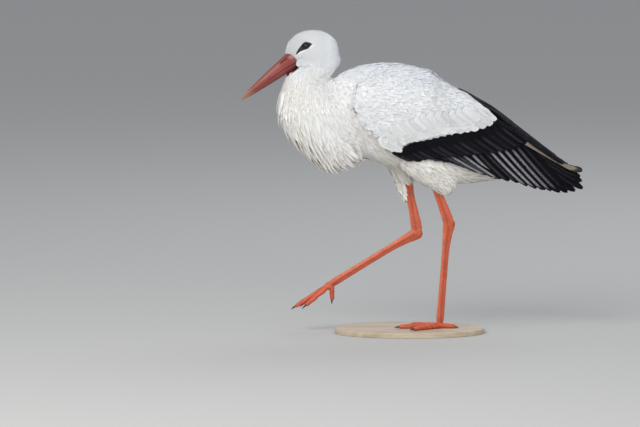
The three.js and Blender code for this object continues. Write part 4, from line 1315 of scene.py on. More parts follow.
# painted shadow in the slit under the wing's leading edge
rgba[(np.abs(v[:, 0]) > 45) & (line_distance(SLIT, v[:, 1], v[:, 2]) < 2.6), :3] = (0.05, 0.04, 0.035)
amount, lc = leg_tint(v)
thigh_low = np.where(v[:, 0] > 0, 305, 295)
is_leg = amount * smooth(thigh_low + 26, thigh_low + 14, v[:, 2])
is_leg = is_leg[:, None]
rgba[:, :3] = rgba[:, :3] * (1 - is_leg) + lc * is_leg
rgba[:, 3] = is_leg[:, 0]
col = body.color_attributes.new("Tint", "FLOAT_COLOR", "POINT")
col.data.foreach_set("color", rgba.ravel())
body.materials.clear()
body.materials.append(SKIN)
body.polygons.foreach_set("use_smooth", np.ones(len(body.polygons), bool))
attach(skin, "root")
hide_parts("head", "neck", "breast", "trunk", "wing_left", "wing_right", "thigh_left", "thigh_right", "shank_left", "shank_right", "tarsus_left", "tarsus_right", "foot_left", "foot_right")
for c in coats.values():
    c.build(PLUME, [], "white_feathers")

# ------------------------------------------------------------------ bare parts: eyes, bill, claws, base
def tinted(ob, colours):
    c = np.ones((len(ob.data.vertices), 4), np.float32)
    c[:, : colours.shape[1]] = colours
    ob.data.color_attributes.new("Tint", "FLOAT_COLOR", "POINT").data.foreach_set("color", c.ravel())


def piece(name, shape, mat, nodes, tint=None):
    v, f = shape
    ob = mesh_object(name, v, outward(v, f))
    if tint is not None:
        tinted(ob, tint)
    ob.data.materials.append(mat)
    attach(ob, "root")
    if nodes:
        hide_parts(*nodes)
    return ob


def tint_material(name, rough, noises, bump=0.0, bump_scale=300.0, **sockets):
    """Tint attribute, mottled by noises of (scale, low, high), with a fine bump."""
    m, nt, b = material(name, rough=rough, **sockets)
    link = nt.links.new
    att = node(nt, "ShaderNodeAttribute", attribute_name="Tint")
    co = node(nt, "ShaderNodeTexCoord")
    out = att.outputs["Color"]
    for scale_, lo, hi in noises:
        nz = node(nt, "ShaderNodeTexNoise", Scale=scale_, Detail=4.0, Roughness=0.6)
        link(co.outputs["Object"], nz.inputs["Vector"])
        mr = node(nt, "ShaderNodeMapRange")
        mr.inputs["From Min"].default_value, mr.inputs["From Max"].default_value = 0.3, 0.7
        mr.inputs["To Min"].default_value, mr.inputs["To Max"].default_value = lo, hi
        link(nz.outputs[0], mr.inputs[0])
        sc = node(nt, "ShaderNodeVectorMath", operation="SCALE")
        link(out, sc.inputs[0])
        link(mr.outputs[0], sc.inputs["Scale"])
        out = sc.outputs[0]
    link(out, b.inputs["Base Color"])
    if bump:
        nz = node(nt, "ShaderNodeTexNoise", Scale=bump_scale, Detail=3.0, Roughness=0.55)
        link(co.outputs["Object"], nz.inputs["Vector"])
        bp = node(nt, "ShaderNodeBump")
        bp.inputs["Strength"].default_value = bump
        bp.inputs["Distance"].default_value = 0.0004
        link(nz.outputs[0], bp.inputs["Height"])
        link(bp.outputs[0], b.inputs["Normal"])
    return m, nt, b


def eye_form(sign):
    def f(t, w):
        th = np.pi * t
        d = np.stack([np.cos(th), np.sin(th) * np.cos(w), np.sin(th) * np.sin(w)], 1)
        r = EYE_R + 0.35 * smooth(0.62, 0.35, th / 1.2)
        return EYE * [sign, 1, 1] + d * r[:, None] * [sign, 1, 1]

    return f


EYE_MAT, nt, b = tint_material("eye", 0.10, [(900.0, 0.75, 1.3)])
b.inputs["Specular IOR Level"].default_value = 0.30
b.inputs["Coat Weight"].default_value = 0.25
b.inputs["Coat Roughness"].default_value = 0.03
for s_, side_name in ((1, "left"), (-1, "right")):
    v, f = loft(72, 72, eye_form(s_))
    d = unit(v - EYE * [s_, 1, 1])
    ang = np.degrees(np.arccos(np.clip(d[:, 0] * s_, -1, 1)))
    pupil, iris = np.array([0.002, 0.002, 0.002]), np.array([0.006, 0.004, 0.0035])
    w1, w2 = smooth(20, 24, ang)[:, None], smooth(40, 44, ang)[:, None]
    piece("eye_ball_" + side_name, (v, f), EYE_MAT, ["eye_" + side_name], (pupil * (1 - w1) + iris * w1) * (1 - w2) + np.array([0.004, 0.004, 0.004]) * w2)


def mandible(upper):
    def f(t, w):
        l = 164 * t**1.15
        p = pole(t)
        in_head = np.maximum(0, l - 157) / 26
        su, sl, gape, top_, low_ = bill_section(np.maximum(l, 1e-6))
        side = (su if upper else sl) * (1 - 0.5 * in_head)
        gape = gape + (0.22 if upper else -0.22)
        ridge = (top_ if upper else low_) * (1 - 0.33 * in_head)
        sn = np.maximum(0, np.sin(w))
        h = gape + p * sn**0.85 * (ridge - gape)
        x = p * side * np.cos(w)
        if upper:
            mid = 16.6 + 0.08 * (l - 116)
            slit = 2.1 * np.exp(-(((h - mid) / 1.05) ** 2)) * smooth(115, 118, l) * smooth(136.5, 134, l)
            furrow_at = np.interp(l, [40, 113, 133], [6.5, 16.2, 17.8])
            furrow = 0.55 * np.exp(-(((h - furrow_at) / 1.7) ** 2)) * smooth(45, 90, l) * smooth(136, 126, l)
            plate = 0.30 * np.exp(-(((h - 19) / 2.5) ** 2)) * smooth(60, 100, l)
            x = x - np.sign(x) * np.minimum(slit + furrow - plate, np.abs(x) * 0.6)
        else:
            ramus = 0.5 * np.exp(-(((h + 6.5) / 1.4) ** 2)) * smooth(50, 90, l)
            x = x - np.sign(x) * np.minimum(ramus, np.abs(x) * 0.6)
        lip = 0.35 * np.exp(-(((h - gape) / 0.9) ** 2)) * smooth(3, 20, l)
        x = x + np.sign(x) * lip * p * (np.abs(np.cos(w)) > 0.7)
        return BILL_TIP + np.outer(l, BILL_BACK) + np.outer(h, BILL_UP) + np.stack([x, 0 * x, 0 * x], 1)

    return f


BILL_MAT, nt, b = tint_material("bill_horn", 0.34, [(70.0, 0.88, 1.10), (420.0, 0.94, 1.05)])
b.inputs["Coat Weight"].default_value = 0.12
b.inputs["Coat Roughness"].default_value = 0.25
# fine grain running along the bill
co = node(nt, "ShaderNodeTexCoord")
mp = node(nt, "ShaderNodeMapping")
mp.inputs["Rotation"].default_value = (-BILL_DROP, 0, 0)
mp.inputs["Scale"].default_value = (1.0, 0.08, 1.0)
nt.links.new(co.outputs["Object"], mp.inputs["Vector"])
nz = node(nt, "ShaderNodeTexNoise", Scale=700.0, Detail=4.0, Roughness=0.6)
nt.links.new(mp.outputs[0], nz.inputs["Vector"])
bp = node(nt, "ShaderNodeBump")
bp.inputs["Strength"].default_value = 0.35
bp.inputs["Distance"].default_value = 0.0004
nt.links.new(nz.outputs[0], bp.inputs["Height"])
nt.links.new(bp.outputs[0], b.inputs["Normal"])
# DARK_RED is the painted shade of the gape line
RED, TIP, DARK_RED = np.array([0.25, 0.046, 0.034]), np.array([0.44, 0.26, 0.14]), np.array([0.16, 0.022, 0.018])
for upper in (True, False):
    v, f = loft(80, 230, mandible(upper))
    l, h = bill_coords(v)
    c = np.repeat(RED[None], len(v), 0)
    # painted shade: the lower mandible darker than the upper, darkest along its underside
    if not upper:
        c = c * (0.86 - 0.22 * smooth(-3, -12, h))[:, None]
    worn = smooth(34, 2, l + 7 * np.sin(v[:, 0] * 0.9) + 5 * np.sin(h * 0.7))[:, None]
    c = c * (1 - worn) + TIP * worn
    # painted shade: the nostril slit made near-black
    mid = 16.6 + 0.08 * (l - 116)
    slit = np.exp(-(((h - mid) / 1.35) ** 2)) * smooth(114.5, 118.5, l) * smooth(137, 133.5, l) * (np.abs(v[:, 0]) > 2) * (1 if upper else 0)
    c = c * (1 - slit[:, None]) + np.array([0.03, 0.004, 0.004]) * slit[:, None]
    # painted shade along the gape line, where the mandibles meet
    line = np.exp(-(((h - (1.6 * l / BILL_LENGTH - 14 * np.maximum(0, l / BILL_LENGTH - 0.86))) / 0.8) ** 2))[:, None] * 0.55
    c = c * (1 - line) + DARK_RED * 0.6 * line
    base_dark = (smooth(118, 150, l) * 0.18)[:, None]
    c = c * (1 - base_dark)
    name = "upper" if upper else "lower"
    piece("bill_horn_" + name, (v, f), BILL_MAT, ["bill_" + name], np.clip(c, 0, 1))

CLAW_MAT, nt, b = tint_material("claw_horn", 0.38, [(900.0, 0.7, 1.3)], 0.3, 900.0)
for side_name in ("left", "right"):
    for toe_name in TOES:
        a_, e_, d_ = toe_line(side_name, toe_name)
        down = np.array([0, 0, -1.0]) if side_name == "left" else np.array([0, -0.5, -0.86])
        tip_ = e_ + d_ * 11 * (0.75 if toe_name == "hind" else 1) + down * (2.2 if side_name == "left" else 1.5)
        form = limb_form(e_ - d_ * 3.5, tip_, [[0, 2.7, 2.3, -0.4], [0.4, 2.5, 2.0, 0.5], [0.75, 1.6, 1.25, 0.5], [1, 0.35, 0.3, 0]])
        v, f = loft(28, 30, form)
        if side_name == "left":
            v[:, 2] = np.maximum(v[:, 2], 0.1)
        u = np.clip((v - e_) @ d_ / 11, 0, 1)[:, None]
        piece("claw_horn_%s_%s" % (side_name, toe_name), (v, f), CLAW_MAT, ["claw_%s_%s" % (side_name, toe_name)],
              np.array([0.055, 0.034, 0.026]) * (1 - u) + np.array([0.016, 0.012, 0.011]) * u)


def base_shape():
    prof = [(0.0, -BASE_T), (0.35, -BASE_T), (0.7, -BASE_T), (0.93, -BASE_T)]
    for a_ in np.linspace(-90, 0, 7):
        prof.append((1 - 0.012 + 0.012 * math.cos(math.radians(a_)), -BASE_T + 1.2 + 1.2 * math.sin(math.radians(a_))))
    for a_ in np.linspace(0, 90, 9):
        prof.append((1 - 0.026 + 0.026 * math.cos(math.radians(a_)), -2.6 + 2.6 * math.sin(math.radians(a_))))
    prof += [(r_, 0.0) for r_ in (0.93, 0.85, 0.7, 0.5, 0.3, 0.15)] + [(0.0, 0.0)]
    prof = np.array(prof)
    n_ = 192
    t_ = 2 * np.pi * np.arange(n_) / n_
    rings = prof[1:-1]
    v_ = [[0, 0, -BASE_T]]
    for r_, z_ in rings:
        v_.append(np.stack([107 * r_ * np.cos(t_), 165 * r_ * np.sin(t_), np.full(n_, z_)], 1))
    v_.append([[0, 0, 0.0]])
    v_ = np.concatenate([np.atleast_2d(q) for q in v_])
    i_ = np.arange(n_)
    k_ = (i_ + 1) % n_
    m_ = len(rings)
    q_ = np.concatenate([np.stack([1 + j * n_ + i_, 1 + j * n_ + k_, 1 + (j + 1) * n_ + k_, 1 + (j + 1) * n_ + i_], 1) for j in range(m_ - 1)])
    last = len(v_) - 1
    t3 = np.concatenate([np.stack([0 * i_, 1 + k_, 1 + i_], 1), np.stack([0 * i_ + last, 1 + (m_ - 1) * n_ + i_, 1 + (m_ - 1) * n_ + k_], 1)])
    return v_, [q_, t3]


v, f = base_shape()
v = v + [0, 0, 0]
BASE_MAT, nt, b = material("base_wood", rough=0.42)
co = node(nt, "ShaderNodeTexCoord")
mp = node(nt, "ShaderNodeMapping")
mp.inputs["Scale"].default_value = (9.0, 0.9, 9.0)
nt.links.new(co.outputs["Object"], mp.inputs["Vector"])
nz = node(nt, "ShaderNodeTexNoise", Scale=6.0, Detail=8.0, Roughness=0.62, Distortion=0.6)
nt.links.new(mp.outputs[0], nz.inputs["Vector"])
fine = node(nt, "ShaderNodeTexNoise", Scale=60.0, Detail=3.0)
nt.links.new(mp.outputs[0], fine.inputs["Vector"])
ramp = node(nt, "ShaderNodeValToRGB")
ramp.color_ramp.elements[0].position, ramp.color_ramp.elements[0].color = 0.32, (0.42, 0.33, 0.23, 1)
ramp.color_ramp.elements[1].position, ramp.color_ramp.elements[1].color = 0.68, (0.60, 0.50, 0.38, 1)
nt.links.new(nz.outputs[0], ramp.inputs[0])
nt.links.new(ramp.outputs[0], b.inputs["Base Color"])
bp = node(nt, "ShaderNodeBump")
bp.inputs["Strength"].default_value, bp.inputs["Distance"].default_value = 0.15, 0.0005
nt.links.new(fine.outputs[0], bp.inputs["Height"])
nt.links.new(bp.outputs[0], b.inputs["Normal"])
piece("stand_plinth", (v, f), BASE_MAT, ["stand_base"])

# ------------------------------------------------------------------ flight and tail feathers, each laid by itself
def guide_mesh():
    ys = np.linspace(-126, 402, 265)
    ts = np.linspace(0, 1, 80)
    y, t = np.meshgrid(ys, ts, indexing="ij")
    x, z, _ = wing_surface(y.ravel(), t.ravel())
    x, z = x.reshape(y.shape), z.reshape(y.shape)
    narrow = (1 - 0.40 * smooth(325, 392, y))
    x = np.maximum(x * narrow, 0.5)
    ext = np.linspace(4, 44, 11)
    xe = np.maximum(x[:, -1:] - 0.22 * ext, 0.5)
    ze = z[:, -1:] - ext
    x, z = np.concatenate([x, xe], 1), np.concatenate([z, ze], 1)
    yy = np.repeat(ys[:, None], x.shape[1], 1)
    pts = np.stack([x, yy, z], -1)
    n1, n2 = x.shape
    idx = np.arange(n1 * n2).reshape(n1, n2)
    quads = np.stack([idx[:-1, :-1], idx[:-1, 1:], idx[1:, 1:], idx[1:, :-1]], -1).reshape(-1, 4)
    du = np.gradient(pts, axis=0)
    dv = np.gradient(pts, axis=1)
    nrm = unit(np.cross(du, dv))
    nrm *= np.sign(nrm[..., :1] + 1e-9)
    return pts.reshape(-1, 3), quads, nrm.reshape(-1, 3)


G_V, G_F, G_N = guide_mesh()
_cells = [tuple(q) for q in G_F]
GUIDE = BVHTree.FromPolygons([tuple(q) for q in G_V * 0.001], _cells)
_gn = unit(G_N[G_F].mean(1))


def on_guide(p):
    q, nn = np.empty_like(p), np.empty_like(p)
    for i, pt in enumerate(p * 0.001):
        loc, _, k, _ = GUIDE.find_nearest(Vector(pt))
        q[i], nn[i] = loc, _gn[k]
    return q * 1000, nn


def side_view(px, py):
    """A place on the left wing's guide from where it shows in the side view."""
    y, z = (px - 410) * 2.2, (328 - py) * 2.2
    x = 30.0
    for _ in range(4):
        x = wing_x(y, z + 0.105 * x)[0][0] * (1 - 0.40 * float(smooth(325, 392, y)))
    return np.array([x, y, z + 0.105 * x])


def by_arc(y, arc):
    """A place on the left wing's guide by its distance round the section from the top edge."""
    t = np.linspace(0, 1, 200)
    x, z, _ = wing_surface(np.full(200, float(y)), t)
    x = np.maximum(x * (1 - 0.40 * float(smooth(325, 392, y))), 0.5)
    s_ = np.concatenate([[0], np.cumsum(np.hypot(np.diff(x), np.diff(z)))])
    return np.array([np.interp(arc, s_, x), float(y), np.interp(arc, s_, z)])


class Quills(Coat):
    """Large vanes: closed, with a shaft, laid one by one; every vane has its own strip of the bake map."""

    def vane(self, root, tip, width, low, high, bend=0.0, point=0.3, thick=0.55, tint=(0.02, 0.02, 0.024), silver=0.0, mirror=False,
             na=10, ns=30, project=True, tail_normal=None, ragged=0.012, narrow=0.45, rise=0.0, dark_tip=0.0):
        s_ = np.linspace(0, 1, ns + 1)
        root, tip = np.array(root, float), np.array(tip, float)
        mid = (root + tip) / 2
        chord = tip - root
        long = np.linalg.norm(chord)
        if project:
            _, nm_ = on_guide(mid[None])
            nm_ = nm_[0]
        else:
            nm_ = np.array(tail_normal, float)
        sideways = unit(np.cross(nm_, chord))
        line = root + np.outer(s_, chord) + np.outer(4 * s_ * (1 - s_) * bend, sideways)
        if project:
            c, nn = on_guide(line)
        else:
            c, nn = line, np.repeat(nm_[None], len(line), 0)
        tang = unit(np.gradient(c, axis=0))
        across = unit(np.cross(nn, tang))
        cols = np.concatenate([np.linspace(-1, -0.05, na // 2 + 1), [0.0], np.linspace(0.05, 1, na // 2 + 1)])
        rag = rng.uniform(-1, 1, len(cols)) * ragged
        half = width / 2 * (narrow + (1 - narrow) * smooth(0, 0.3, s_)) * (1 - 0.22 * point * smooth(0.55, 1, s_))
        top_, split = np.empty((ns + 1, len(cols), 3)), rng.uniform(0, 1, 4)
        nick = 1 - 0.22 * np.exp(-(((s_ - 0.45 - 0.45 * split[0]) / 0.012) ** 2)) - 0.16 * np.exp(-(((s_ - 0.5 - 0.45 * split[1]) / 0.010) ** 2))
        for j, vv in enumerate(cols):
            endcut = (1 - math.sqrt(max(0, 1 - 0.995 * vv * vv))) * (half[-1] / long) * (1.0 + 2.2 * point) + rag[j] * (abs(vv) > 0.06)
            sj = s_ * (1 - max(endcut, 0))
            cc = np.stack([np.interp(sj, s_, c[:, k]) for k in range(3)], 1)
            aa = unit(np.stack([np.interp(sj, s_, across[:, k]) for k in range(3)], 1))
            n_j = unit(np.stack([np.interp(sj, s_, nn[:, k]) for k in range(3)], 1))
            hh = np.interp(sj, s_, half) * (nick if abs(vv) > 0.9 and vv * (split[2] - 0.5) > 0 else 1)
            pt = cc + aa * (vv * hh)[:, None]
            if project:
                pt, n_j = on_guide(pt)
            lift = -(low + (high - low) * (vv + 1) / 2) + 0.5 * (1 - vv * vv) * smooth(0, 0.1, s_) + (0.32 if abs(vv) < 0.02 else 0) * (1 - 0.7 * s_) + rise * smooth(0.3, 0.62, s_)
            top_[:, j] = pt + n_j * np.reshape(lift, (-1, 1))
        du, dv = np.gradient(top_, axis=0), np.gradient(top_, axis=1)
        nrm = unit(np.cross(du, dv))
        if (nrm * (nm_ if not project else nn[:, None, :])).sum() < 0:
            nrm = -nrm
        th = thick * (1 - 0.55 * s_)[:, None, None] * (1 - 0.5 * np.abs(cols))[None, :, None]
        low_ = top_ - nrm * th
        m = (ns + 1) * len(cols)
        g = np.arange(m).reshape(ns + 1, len(cols))
        one = np.stack([g[:-1, :-1], g[:-1, 1:], g[1:, 1:], g[1:, :-1]], -1).reshape(-1, 4)
        ring = np.concatenate([g[:-1, 0], g[-1, :-1], g[::-1][:-1, -1], g[0, ::-1][:-1]])
        nxt = np.roll(ring, -1)
        quads = np.concatenate([one, one[:, ::-1] + m, np.stack([nxt, ring, ring + m, nxt + m], 1)])
        verts = np.concatenate([top_.reshape(-1, 3), low_.reshape(-1, 3)])
        n0 = np.cross(verts[one[0, 1]] - verts[one[0, 0]], verts[one[0, 3]] - verts[one[0, 0]])
        if n0 @ nrm[0, 0] < 0:
            quads = quads[:, ::-1]
        if mirror:
            verts = verts * [-1, 1, 1]
            quads = quads[:, ::-1]
        if project:
            verts[:, 0] = np.maximum(verts[:, 0], 0.3) if not mirror else np.minimum(verts[:, 0], -0.3)
        uu, ss = np.meshgrid((cols + 1) / 2, s_, indexing="xy")
        cell = np.stack([uu.ravel(), ss.ravel()], 1)
        seed = rng.integers(0, 40, 2)
        self.uv.append(np.concatenate([cell, cell]) * [0.98, 1] + [0.01, 0] + seed)
        self.cells = getattr(self, "cells", [])
        self.cells.append((cell, len(self.cells)))
        t = np.ones((2 * m, 4))
        t[:, :3] = np.array(tint) * (1 + 0.06 * rng.normal()) * ((1 - dark_tip * np.tile(smooth(0.93, 0.97, ss.ravel()), 2)) * (1 - 1.1 * dark_tip * np.tile(smooth(0.46, 0.38, ss.ravel()), 2)))[:, None]
        t[:, 3] = silver
        self.v.append(verts)
        self.f.append(quads + self.n)
        self.tint.append(t)
        self.n += 2 * m

    def pack(self):
        count = 2 * len(self.cells)
        rows = 2 if count > 24 else 1
        per = math.ceil(count / rows)
        for cell, i in self.cells:
            both = []
            for k in (0, 1):
                j = 2 * i + k
                both.append(((cell * [0.9, 0.96] + [0.05, 0.02]) + [j % per, j // per]) / [per, rows])
            self.bake.append(np.concatenate(both))


def flight(name, mirror):
    """The folded wing's black feathers, deepest first: primaries, secondaries, tertials, greater coverts."""
    q = Quills(name)
    black = np.array([0.0045, 0.0045, 0.0066])
    brown = np.array([0.20, 0.165, 0.13])

    def j(a_=0.6):
        return rng.normal(0, a_)

    # primaries: root, tip, width
    for i, (r_, t_) in enumerate([((494, 136), (561, 193.2)), ((498, 135), (569, 193.2)), ((502, 134), (576, 192.0)), ((507, 133), (583, 189.3)), ((512, 133), (582, 182)), ((514, 131), (580, 177))]):
        q.vane(side_view(*r_), side_view(t_[0] + j(0.3), t_[1] + j(0.2)), 17 + j(), 7.4, 9.0, bend=-5 + j(), point=0.9, tint=black * 0.95, mirror=mirror, silver=0.05)
    # hind secondaries, at 45 degrees, with silvered outer webs
    for i, (r_, t_) in enumerate([((455, 131), (502.5, 179.5)), ((461, 130), (510, 181.0)), ((467, 129), (519, 183.2)), ((473, 127.5), (528.5, 185.8)), ((479.5, 126), (536.8, 188.4)),
                                  ((486, 124.5), (545, 190.2)), ((493, 123.5), (552.8, 191.2)), ((500, 123), (560, 191.0)), ((506, 123), (566, 189.0))]):
        q.vane(side_view(*r_), side_view(t_[0] + j(0.3), t_[1] + j(0.2)), 20 + j(), 5.2, 7.4, bend=-3 + j(), point=0.35, tint=black, mirror=mirror, silver=(0.9, 0.12, 0.10, 0.95, 1.0, 0.9, 0.7, 0.35, 0.05)[i])
    # fore secondaries, flatter
    for i, (r_, t_) in enumerate([((412, 149), (452, 159.5)), ((418, 148), (461, 163.0)), ((424, 147), (470, 167.6)), ((430, 146), (479.5, 171.6)), ((436, 145), (488, 175.0)), ((443, 144), (494.5, 176.6)), ((450, 143), (498.8, 178.2))]):
        q.vane(side_view(*r_), side_view(t_[0] + j(0.3), t_[1] + j(0.2)), 17 + j(), 4.6, 6.6, bend=-2, point=0.35, tint=black, mirror=mirror, silver=(0.0, 0.0, 0.08, 0.2, 0.95, 0.2, 1.0)[i])
    # tertials: long, broad, one over another up to the back's ridge
    tert = [(by_arc(120, 70), side_view(581.8, 171.4), 19, 0.0), (by_arc(112, 50), side_view(568.5, 162.4), 19, 0.05), (by_arc(110, 42), by_arc(340, 12), 22, 0.015),
            (by_arc(162, 33), by_arc(316, 14), 25, 0.02), (by_arc(166, 26), by_arc(290, 14), 27, 0.01), (by_arc(140, 18), by_arc(262, 14), 27, 0.0), (by_arc(123, 12), by_arc(238, 13), 26, 0.0),
            (by_arc(111, 6), by_arc(322, 7), 15, 0.0), (by_arc(107, 4), by_arc(226, 6), 15, 0.0)]
    for i, (r_, t_, w_, sl) in enumerate(tert):
        q.vane(r_, t_ + [0, j(1.2), 0], w_ + j(0.4), 3.6 - 0.1 * i, 5.0 - 0.16 * i, bend=3 if i < 2 else 1, point=(0.5, 0.7)[i] if i < 2 else 0.3, tint=brown if i == 0 else black, mirror=mirror, silver=sl,
               rise=0.5 if i < 2 else 2.3, dark_tip=0.85 if i == 0 else 0.0)
    # greater coverts: short, broad, rooted under the white
    tips_ = [(402, 153.0), (408.5, 156.6), (415, 159.2), (422, 159.4), (429, 158.2), (436, 157.2), (443, 156.2), (450.5, 155.4), (458, 154.7), (466, 154.0), (474, 153.4), (482, 152.8), (490, 152.2),
             (498, 151.0), (506, 149.6), (513.5, 147.8), (520, 145.4), (526, 142.6), (531, 139.4)]
    for i, (px, py) in enumerate(tips_):
        k = i / (len(tips_) - 1)
        ang = math.radians(24 + 14 * k)
        long = 11 + 32 * k**0.6
        root_ = (px - long * math.cos(ang), py - long * math.sin(ang))
        q.vane(side_view(*root_), side_view(px + j(0.3), py + j(0.3)), 23 + j(), 2.1, 4.0, bend=-1.5, point=0.12, tint=black * (1.1 + 0.1 * j(0.5)), mirror=mirror, silver=0.02 + 0.03 * (i % 3), ns=18)
    q.pack()
    return q


def flight_material():
    """Black quill, slightly blue in its black: silvered outer web, slanting barbs."""
    m, nt, b = material("plume_black", rough=0.50)
    b.inputs["Specular IOR Level"].default_value = 0.05
    b.inputs["Sheen Weight"].default_value = 0.0
    b.inputs["Sheen Roughness"].default_value = 0.35
    b.inputs["Sheen Tint"].default_value = (0.65, 0.68, 1.0, 1)
    link = nt.links.new
    tint = node(nt, "ShaderNodeAttribute", attribute_name="Tint")
    uv = node(nt, "ShaderNodeUVMap", uv_map="Vane")
    sep = node(nt, "ShaderNodeSeparateXYZ")
    link(uv.outputs[0], sep.inputs[0])

    def m_(op, a_, b_=None, c_=None):
        nd = node(nt, "ShaderNodeMath", operation=op)
        for i, val in enumerate((a_, b_, c_)):
            if val is None:
                continue
            if isinstance(val, (int, float)):
                nd.inputs[i].default_value = val
            else:
                link(val, nd.inputs[i])
        return nd.outputs[0]

    u = m_("FRACT", sep.outputs[0])
    v_ = m_("FRACT", sep.outputs[1])
    off = m_("ABSOLUTE", m_("SUBTRACT", u, 0.5))
    slant = m_("MULTIPLY_ADD", off, -0.16, v_)
    comb = node(nt, "ShaderNodeCombineXYZ")
    link(slant, comb.inputs[0])
    link(m_("MULTIPLY", u, 0.02), comb.inputs[1])
    link(m_("FLOOR", sep.outputs[1]), comb.inputs[2])
    barbs = node(nt, "ShaderNodeTexNoise", noise_dimensions="3D", Scale=150.0, Detail=2.0, Roughness=0.55)
    link(comb.outputs[0], barbs.inputs["Vector"])

    def mr(src, a0, a1, b0, b1, kind="SMOOTHSTEP"):
        nd = node(nt, "ShaderNodeMapRange", interpolation_type=kind)
        link(src, nd.inputs["Value"])
        for key, val in (("From Min", a0), ("From Max", a1), ("To Min", b0), ("To Max", b1)):
            nd.inputs[key].default_value = val
        return nd.outputs["Result"]

    # silver lies on the outer (lower) web and dies away to root and tip
    web = m_("MULTIPLY", mr(u, 0.02, 0.10, 0, 1), mr(u, 0.38, 0.25, 0, 1))
    run = m_("MULTIPLY", mr(v_, 0.25, 0.45, 0, 1), mr(v_, 0.99, 0.90, 0, 1))
    grain = mr(barbs.outputs[0], 0.32, 0.62, 0.35, 1.0, "LINEAR")
    silver = m_("MULTIPLY", m_("MULTIPLY", m_("MULTIPLY", web, run), grain), tint.outputs["Alpha"])
    sc = node(nt, "ShaderNodeVectorMath", operation="SCALE")
    link(tint.outputs["Color"], sc.inputs[0])
    link(mr(barbs.outputs[0], 0.3, 0.7, 0.7, 1.35, "LINEAR"), sc.inputs["Scale"])
    mix = node(nt, "ShaderNodeMix", data_type="RGBA")
    link(silver, mix.inputs["Factor"])
    link(sc.outputs[0], mix.inputs["A"])
    mix.inputs["B"].default_value = (0.31, 0.31, 0.335, 1)
    link(mix.outputs["Result"], b.inputs["Base Color"])
    bp = node(nt, "ShaderNodeBump")
    bp.inputs["Strength"].default_value, bp.inputs["Distance"].default_value = 0.35, 0.0006
    link(barbs.outputs[0], bp.inputs["Height"])
    link(bp.outputs[0], b.inputs["Normal"])
    return m


def white_coverts(name, mirror):
    """The lowest white coverts, laid one by one so that their round ends scallop the black below them."""
    q = Quills(name)
    edge_ = [(401.2, 151.2, 8), (401.4, 148.6, 8), (402.0, 145.8, 8), (405.2, 144.4, 8), (408.8, 143.4, 9), (412.8, 142.2, 10), (417.2, 141.0, 10), (422, 139.6, 11), (427.5, 138.2, 12), (433, 136.4, 14), (439.5, 134.8, 16), (447, 132.7, 18),
             (455, 132.3, 18), (463, 132.4, 17), (470.5, 131.2, 17), (478, 129.4, 18), (485.5, 126.6, 18), (491.5, 123.8, 17), (496.0, 119.6, 15)]
    front_ = [(386.5, 148.2, 10), (390.0, 150.2, 10), (394.0, 151.4, 10), (398.0, 152.2, 9)]
    for row, (up_, shift) in enumerate(((0, 0), (6.5, -4.5), (13, -1.5))):
        for i, (px, py, w_) in enumerate(edge_ + (front_ if row < 2 else [])):
            k = min(i, len(edge_) - 1) / (len(edge_) - 1) if i < len(edge_) else 0
            if row == 2 and i in (0, 1, len(edge_) - 1, len(edge_) - 2) or row == 1 and i > len(edge_) - 4:
                continue
            ang = math.radians((50 if i > 2 else 36) - 18 * k)
            ex, ey = px - up_ * math.cos(ang) * 0.55 + shift * 0.5, py - up_ * math.sin(ang) * (0.75 + 0.25 * k)
            long = 13 + 9 * k
            q.vane(side_view(ex - long * math.cos(ang), ey - long * math.sin(ang)), side_view(ex + rng.normal(0, 0.35), ey + rng.normal(0, 0.3)), w_ * (1.3 + 0.2 * row) + rng.normal(0, 0.6),
                   1.3 - 0.5 * row, 1.9 - 0.5 * row, bend=-0.8, point=0.05, tint=np.array([0.86, 0.86, 0.855]) * rng.normal(1, 0.012), mirror=mirror, na=8, ns=14, ragged=0.02, thick=0.5, narrow=0.55)
    q.pack()
    return q


BLACK = flight_material()
for side_name, mirror in (("left", False), ("right", True)):
    white_coverts("coverts_" + side_name, mirror).build(PLUME, [], "white_feathers")
for side_name, mirror in (("left", False), ("right", True)):
    flight("quills_" + side_name, mirror).build(BLACK, ["flight_" + side_name], "black_feathers")

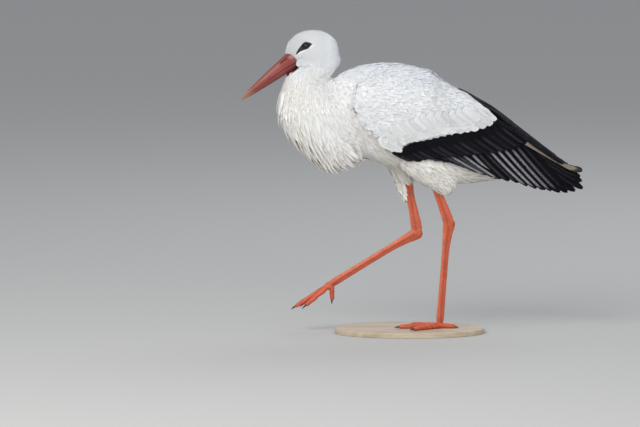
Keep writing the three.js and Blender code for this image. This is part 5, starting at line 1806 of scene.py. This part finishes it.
# the tail is white; its darker cream-grey tint is painted shade for its place under the folded wings
tail = Quills("tail_fan")
for layer, (count, y1, spread_, w_) in enumerate(((10, 322, 9, 14), (6, 300, 6, 14))):
    for i in range(count):
        u = 2 * (i + 0.5) / count - 1
        root_ = np.array([u * 7, 178, 366 + 3 * layer - 3 * abs(u)])
        tip_ = np.array([u * spread_, y1 - 12 * u * u + rng.normal(0, 1.2), 333.5 + 4 * layer - 5 * u * u + (y1 - 322) * -0.2])
        tilt = 0.25 * u
        tail.vane(root_, tip_, w_, 0.2 * abs(u) * 6 + 0.9 * (i % 2), 0.2 * abs(u) * 6 + 0.9 * (i % 2) + 0.6, bend=0, point=0.15, project=False, tail_normal=(tilt, 0.22, 1), tint=(0.70, 0.67, 0.61), ragged=0.02)
tail.pack()
tail.build(PLUME, ["tail"], "white_feathers")

# ------------------------------------------------------------------ stage
cam_data = bpy.data.cameras.new("camera")
cam_data.lens, cam_data.sensor_width = 300, 36
cam = bpy.data.objects.new("camera", cam_data)
elev, dist = math.radians(6), 11.733
target = Vector((0, -0.198, 0.264))
cam.location = target + dist * Vector((math.cos(elev), 0, math.sin(elev)))
cam.rotation_euler = (target - cam.location).to_track_quat("-Z", "Y").to_euler()
cam_data.clip_end = 100
bpy.context.scene.collection.objects.link(cam)
bpy.context.scene.camera = cam

floor_me = bpy.data.meshes.new("floor")
floor_me.from_pydata([(-40, -40, 0), (40, -40, 0), (40, 40, 0), (-40, 40, 0)], [], [(0, 1, 2, 3)])
floor = bpy.data.objects.new("floor", floor_me)
bpy.context.scene.collection.objects.link(floor)
fm, _, _ = material("floor", (0.50, 0.495, 0.48), 0.9)
floor_me.materials.append(fm)


def area(name, place, size, energy, colour_, aim=(0, 0, 0.35)):
    ld = bpy.data.lights.new(name, "AREA")
    ld.shape, ld.size, ld.energy, ld.color = "SQUARE", size, energy, colour_
    lo = bpy.data.objects.new(name, ld)
    lo.location = place
    lo.rotation_euler = (Vector(aim) - Vector(place)).to_track_quat("-Z", "Y").to_euler()
    bpy.context.scene.collection.objects.link(lo)


area("key", (2.9, -1.8, 3.1), 2.6, 118, (1.0, 0.985, 0.955))
area("fill", (4.2, 0.8, 0.9), 3.0, 66, (0.98, 0.985, 1.0))
area("back", (-2.6, 1.4, 3.2), 2.4, 36, (0.90, 0.94, 1.0))
bpy.context.scene.view_settings.view_transform = "Standard"
world = bpy.context.scene.world or bpy.data.worlds.new("world")
bpy.context.scene.world = world
world.use_nodes = True
bg = world.node_tree.nodes.get("Background") or world.node_tree.nodes.new("ShaderNodeBackground")
bg.inputs[0].default_value = (0.86, 0.90, 0.96, 1)
bg.inputs[1].default_value = 0.53

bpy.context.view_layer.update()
say("done")
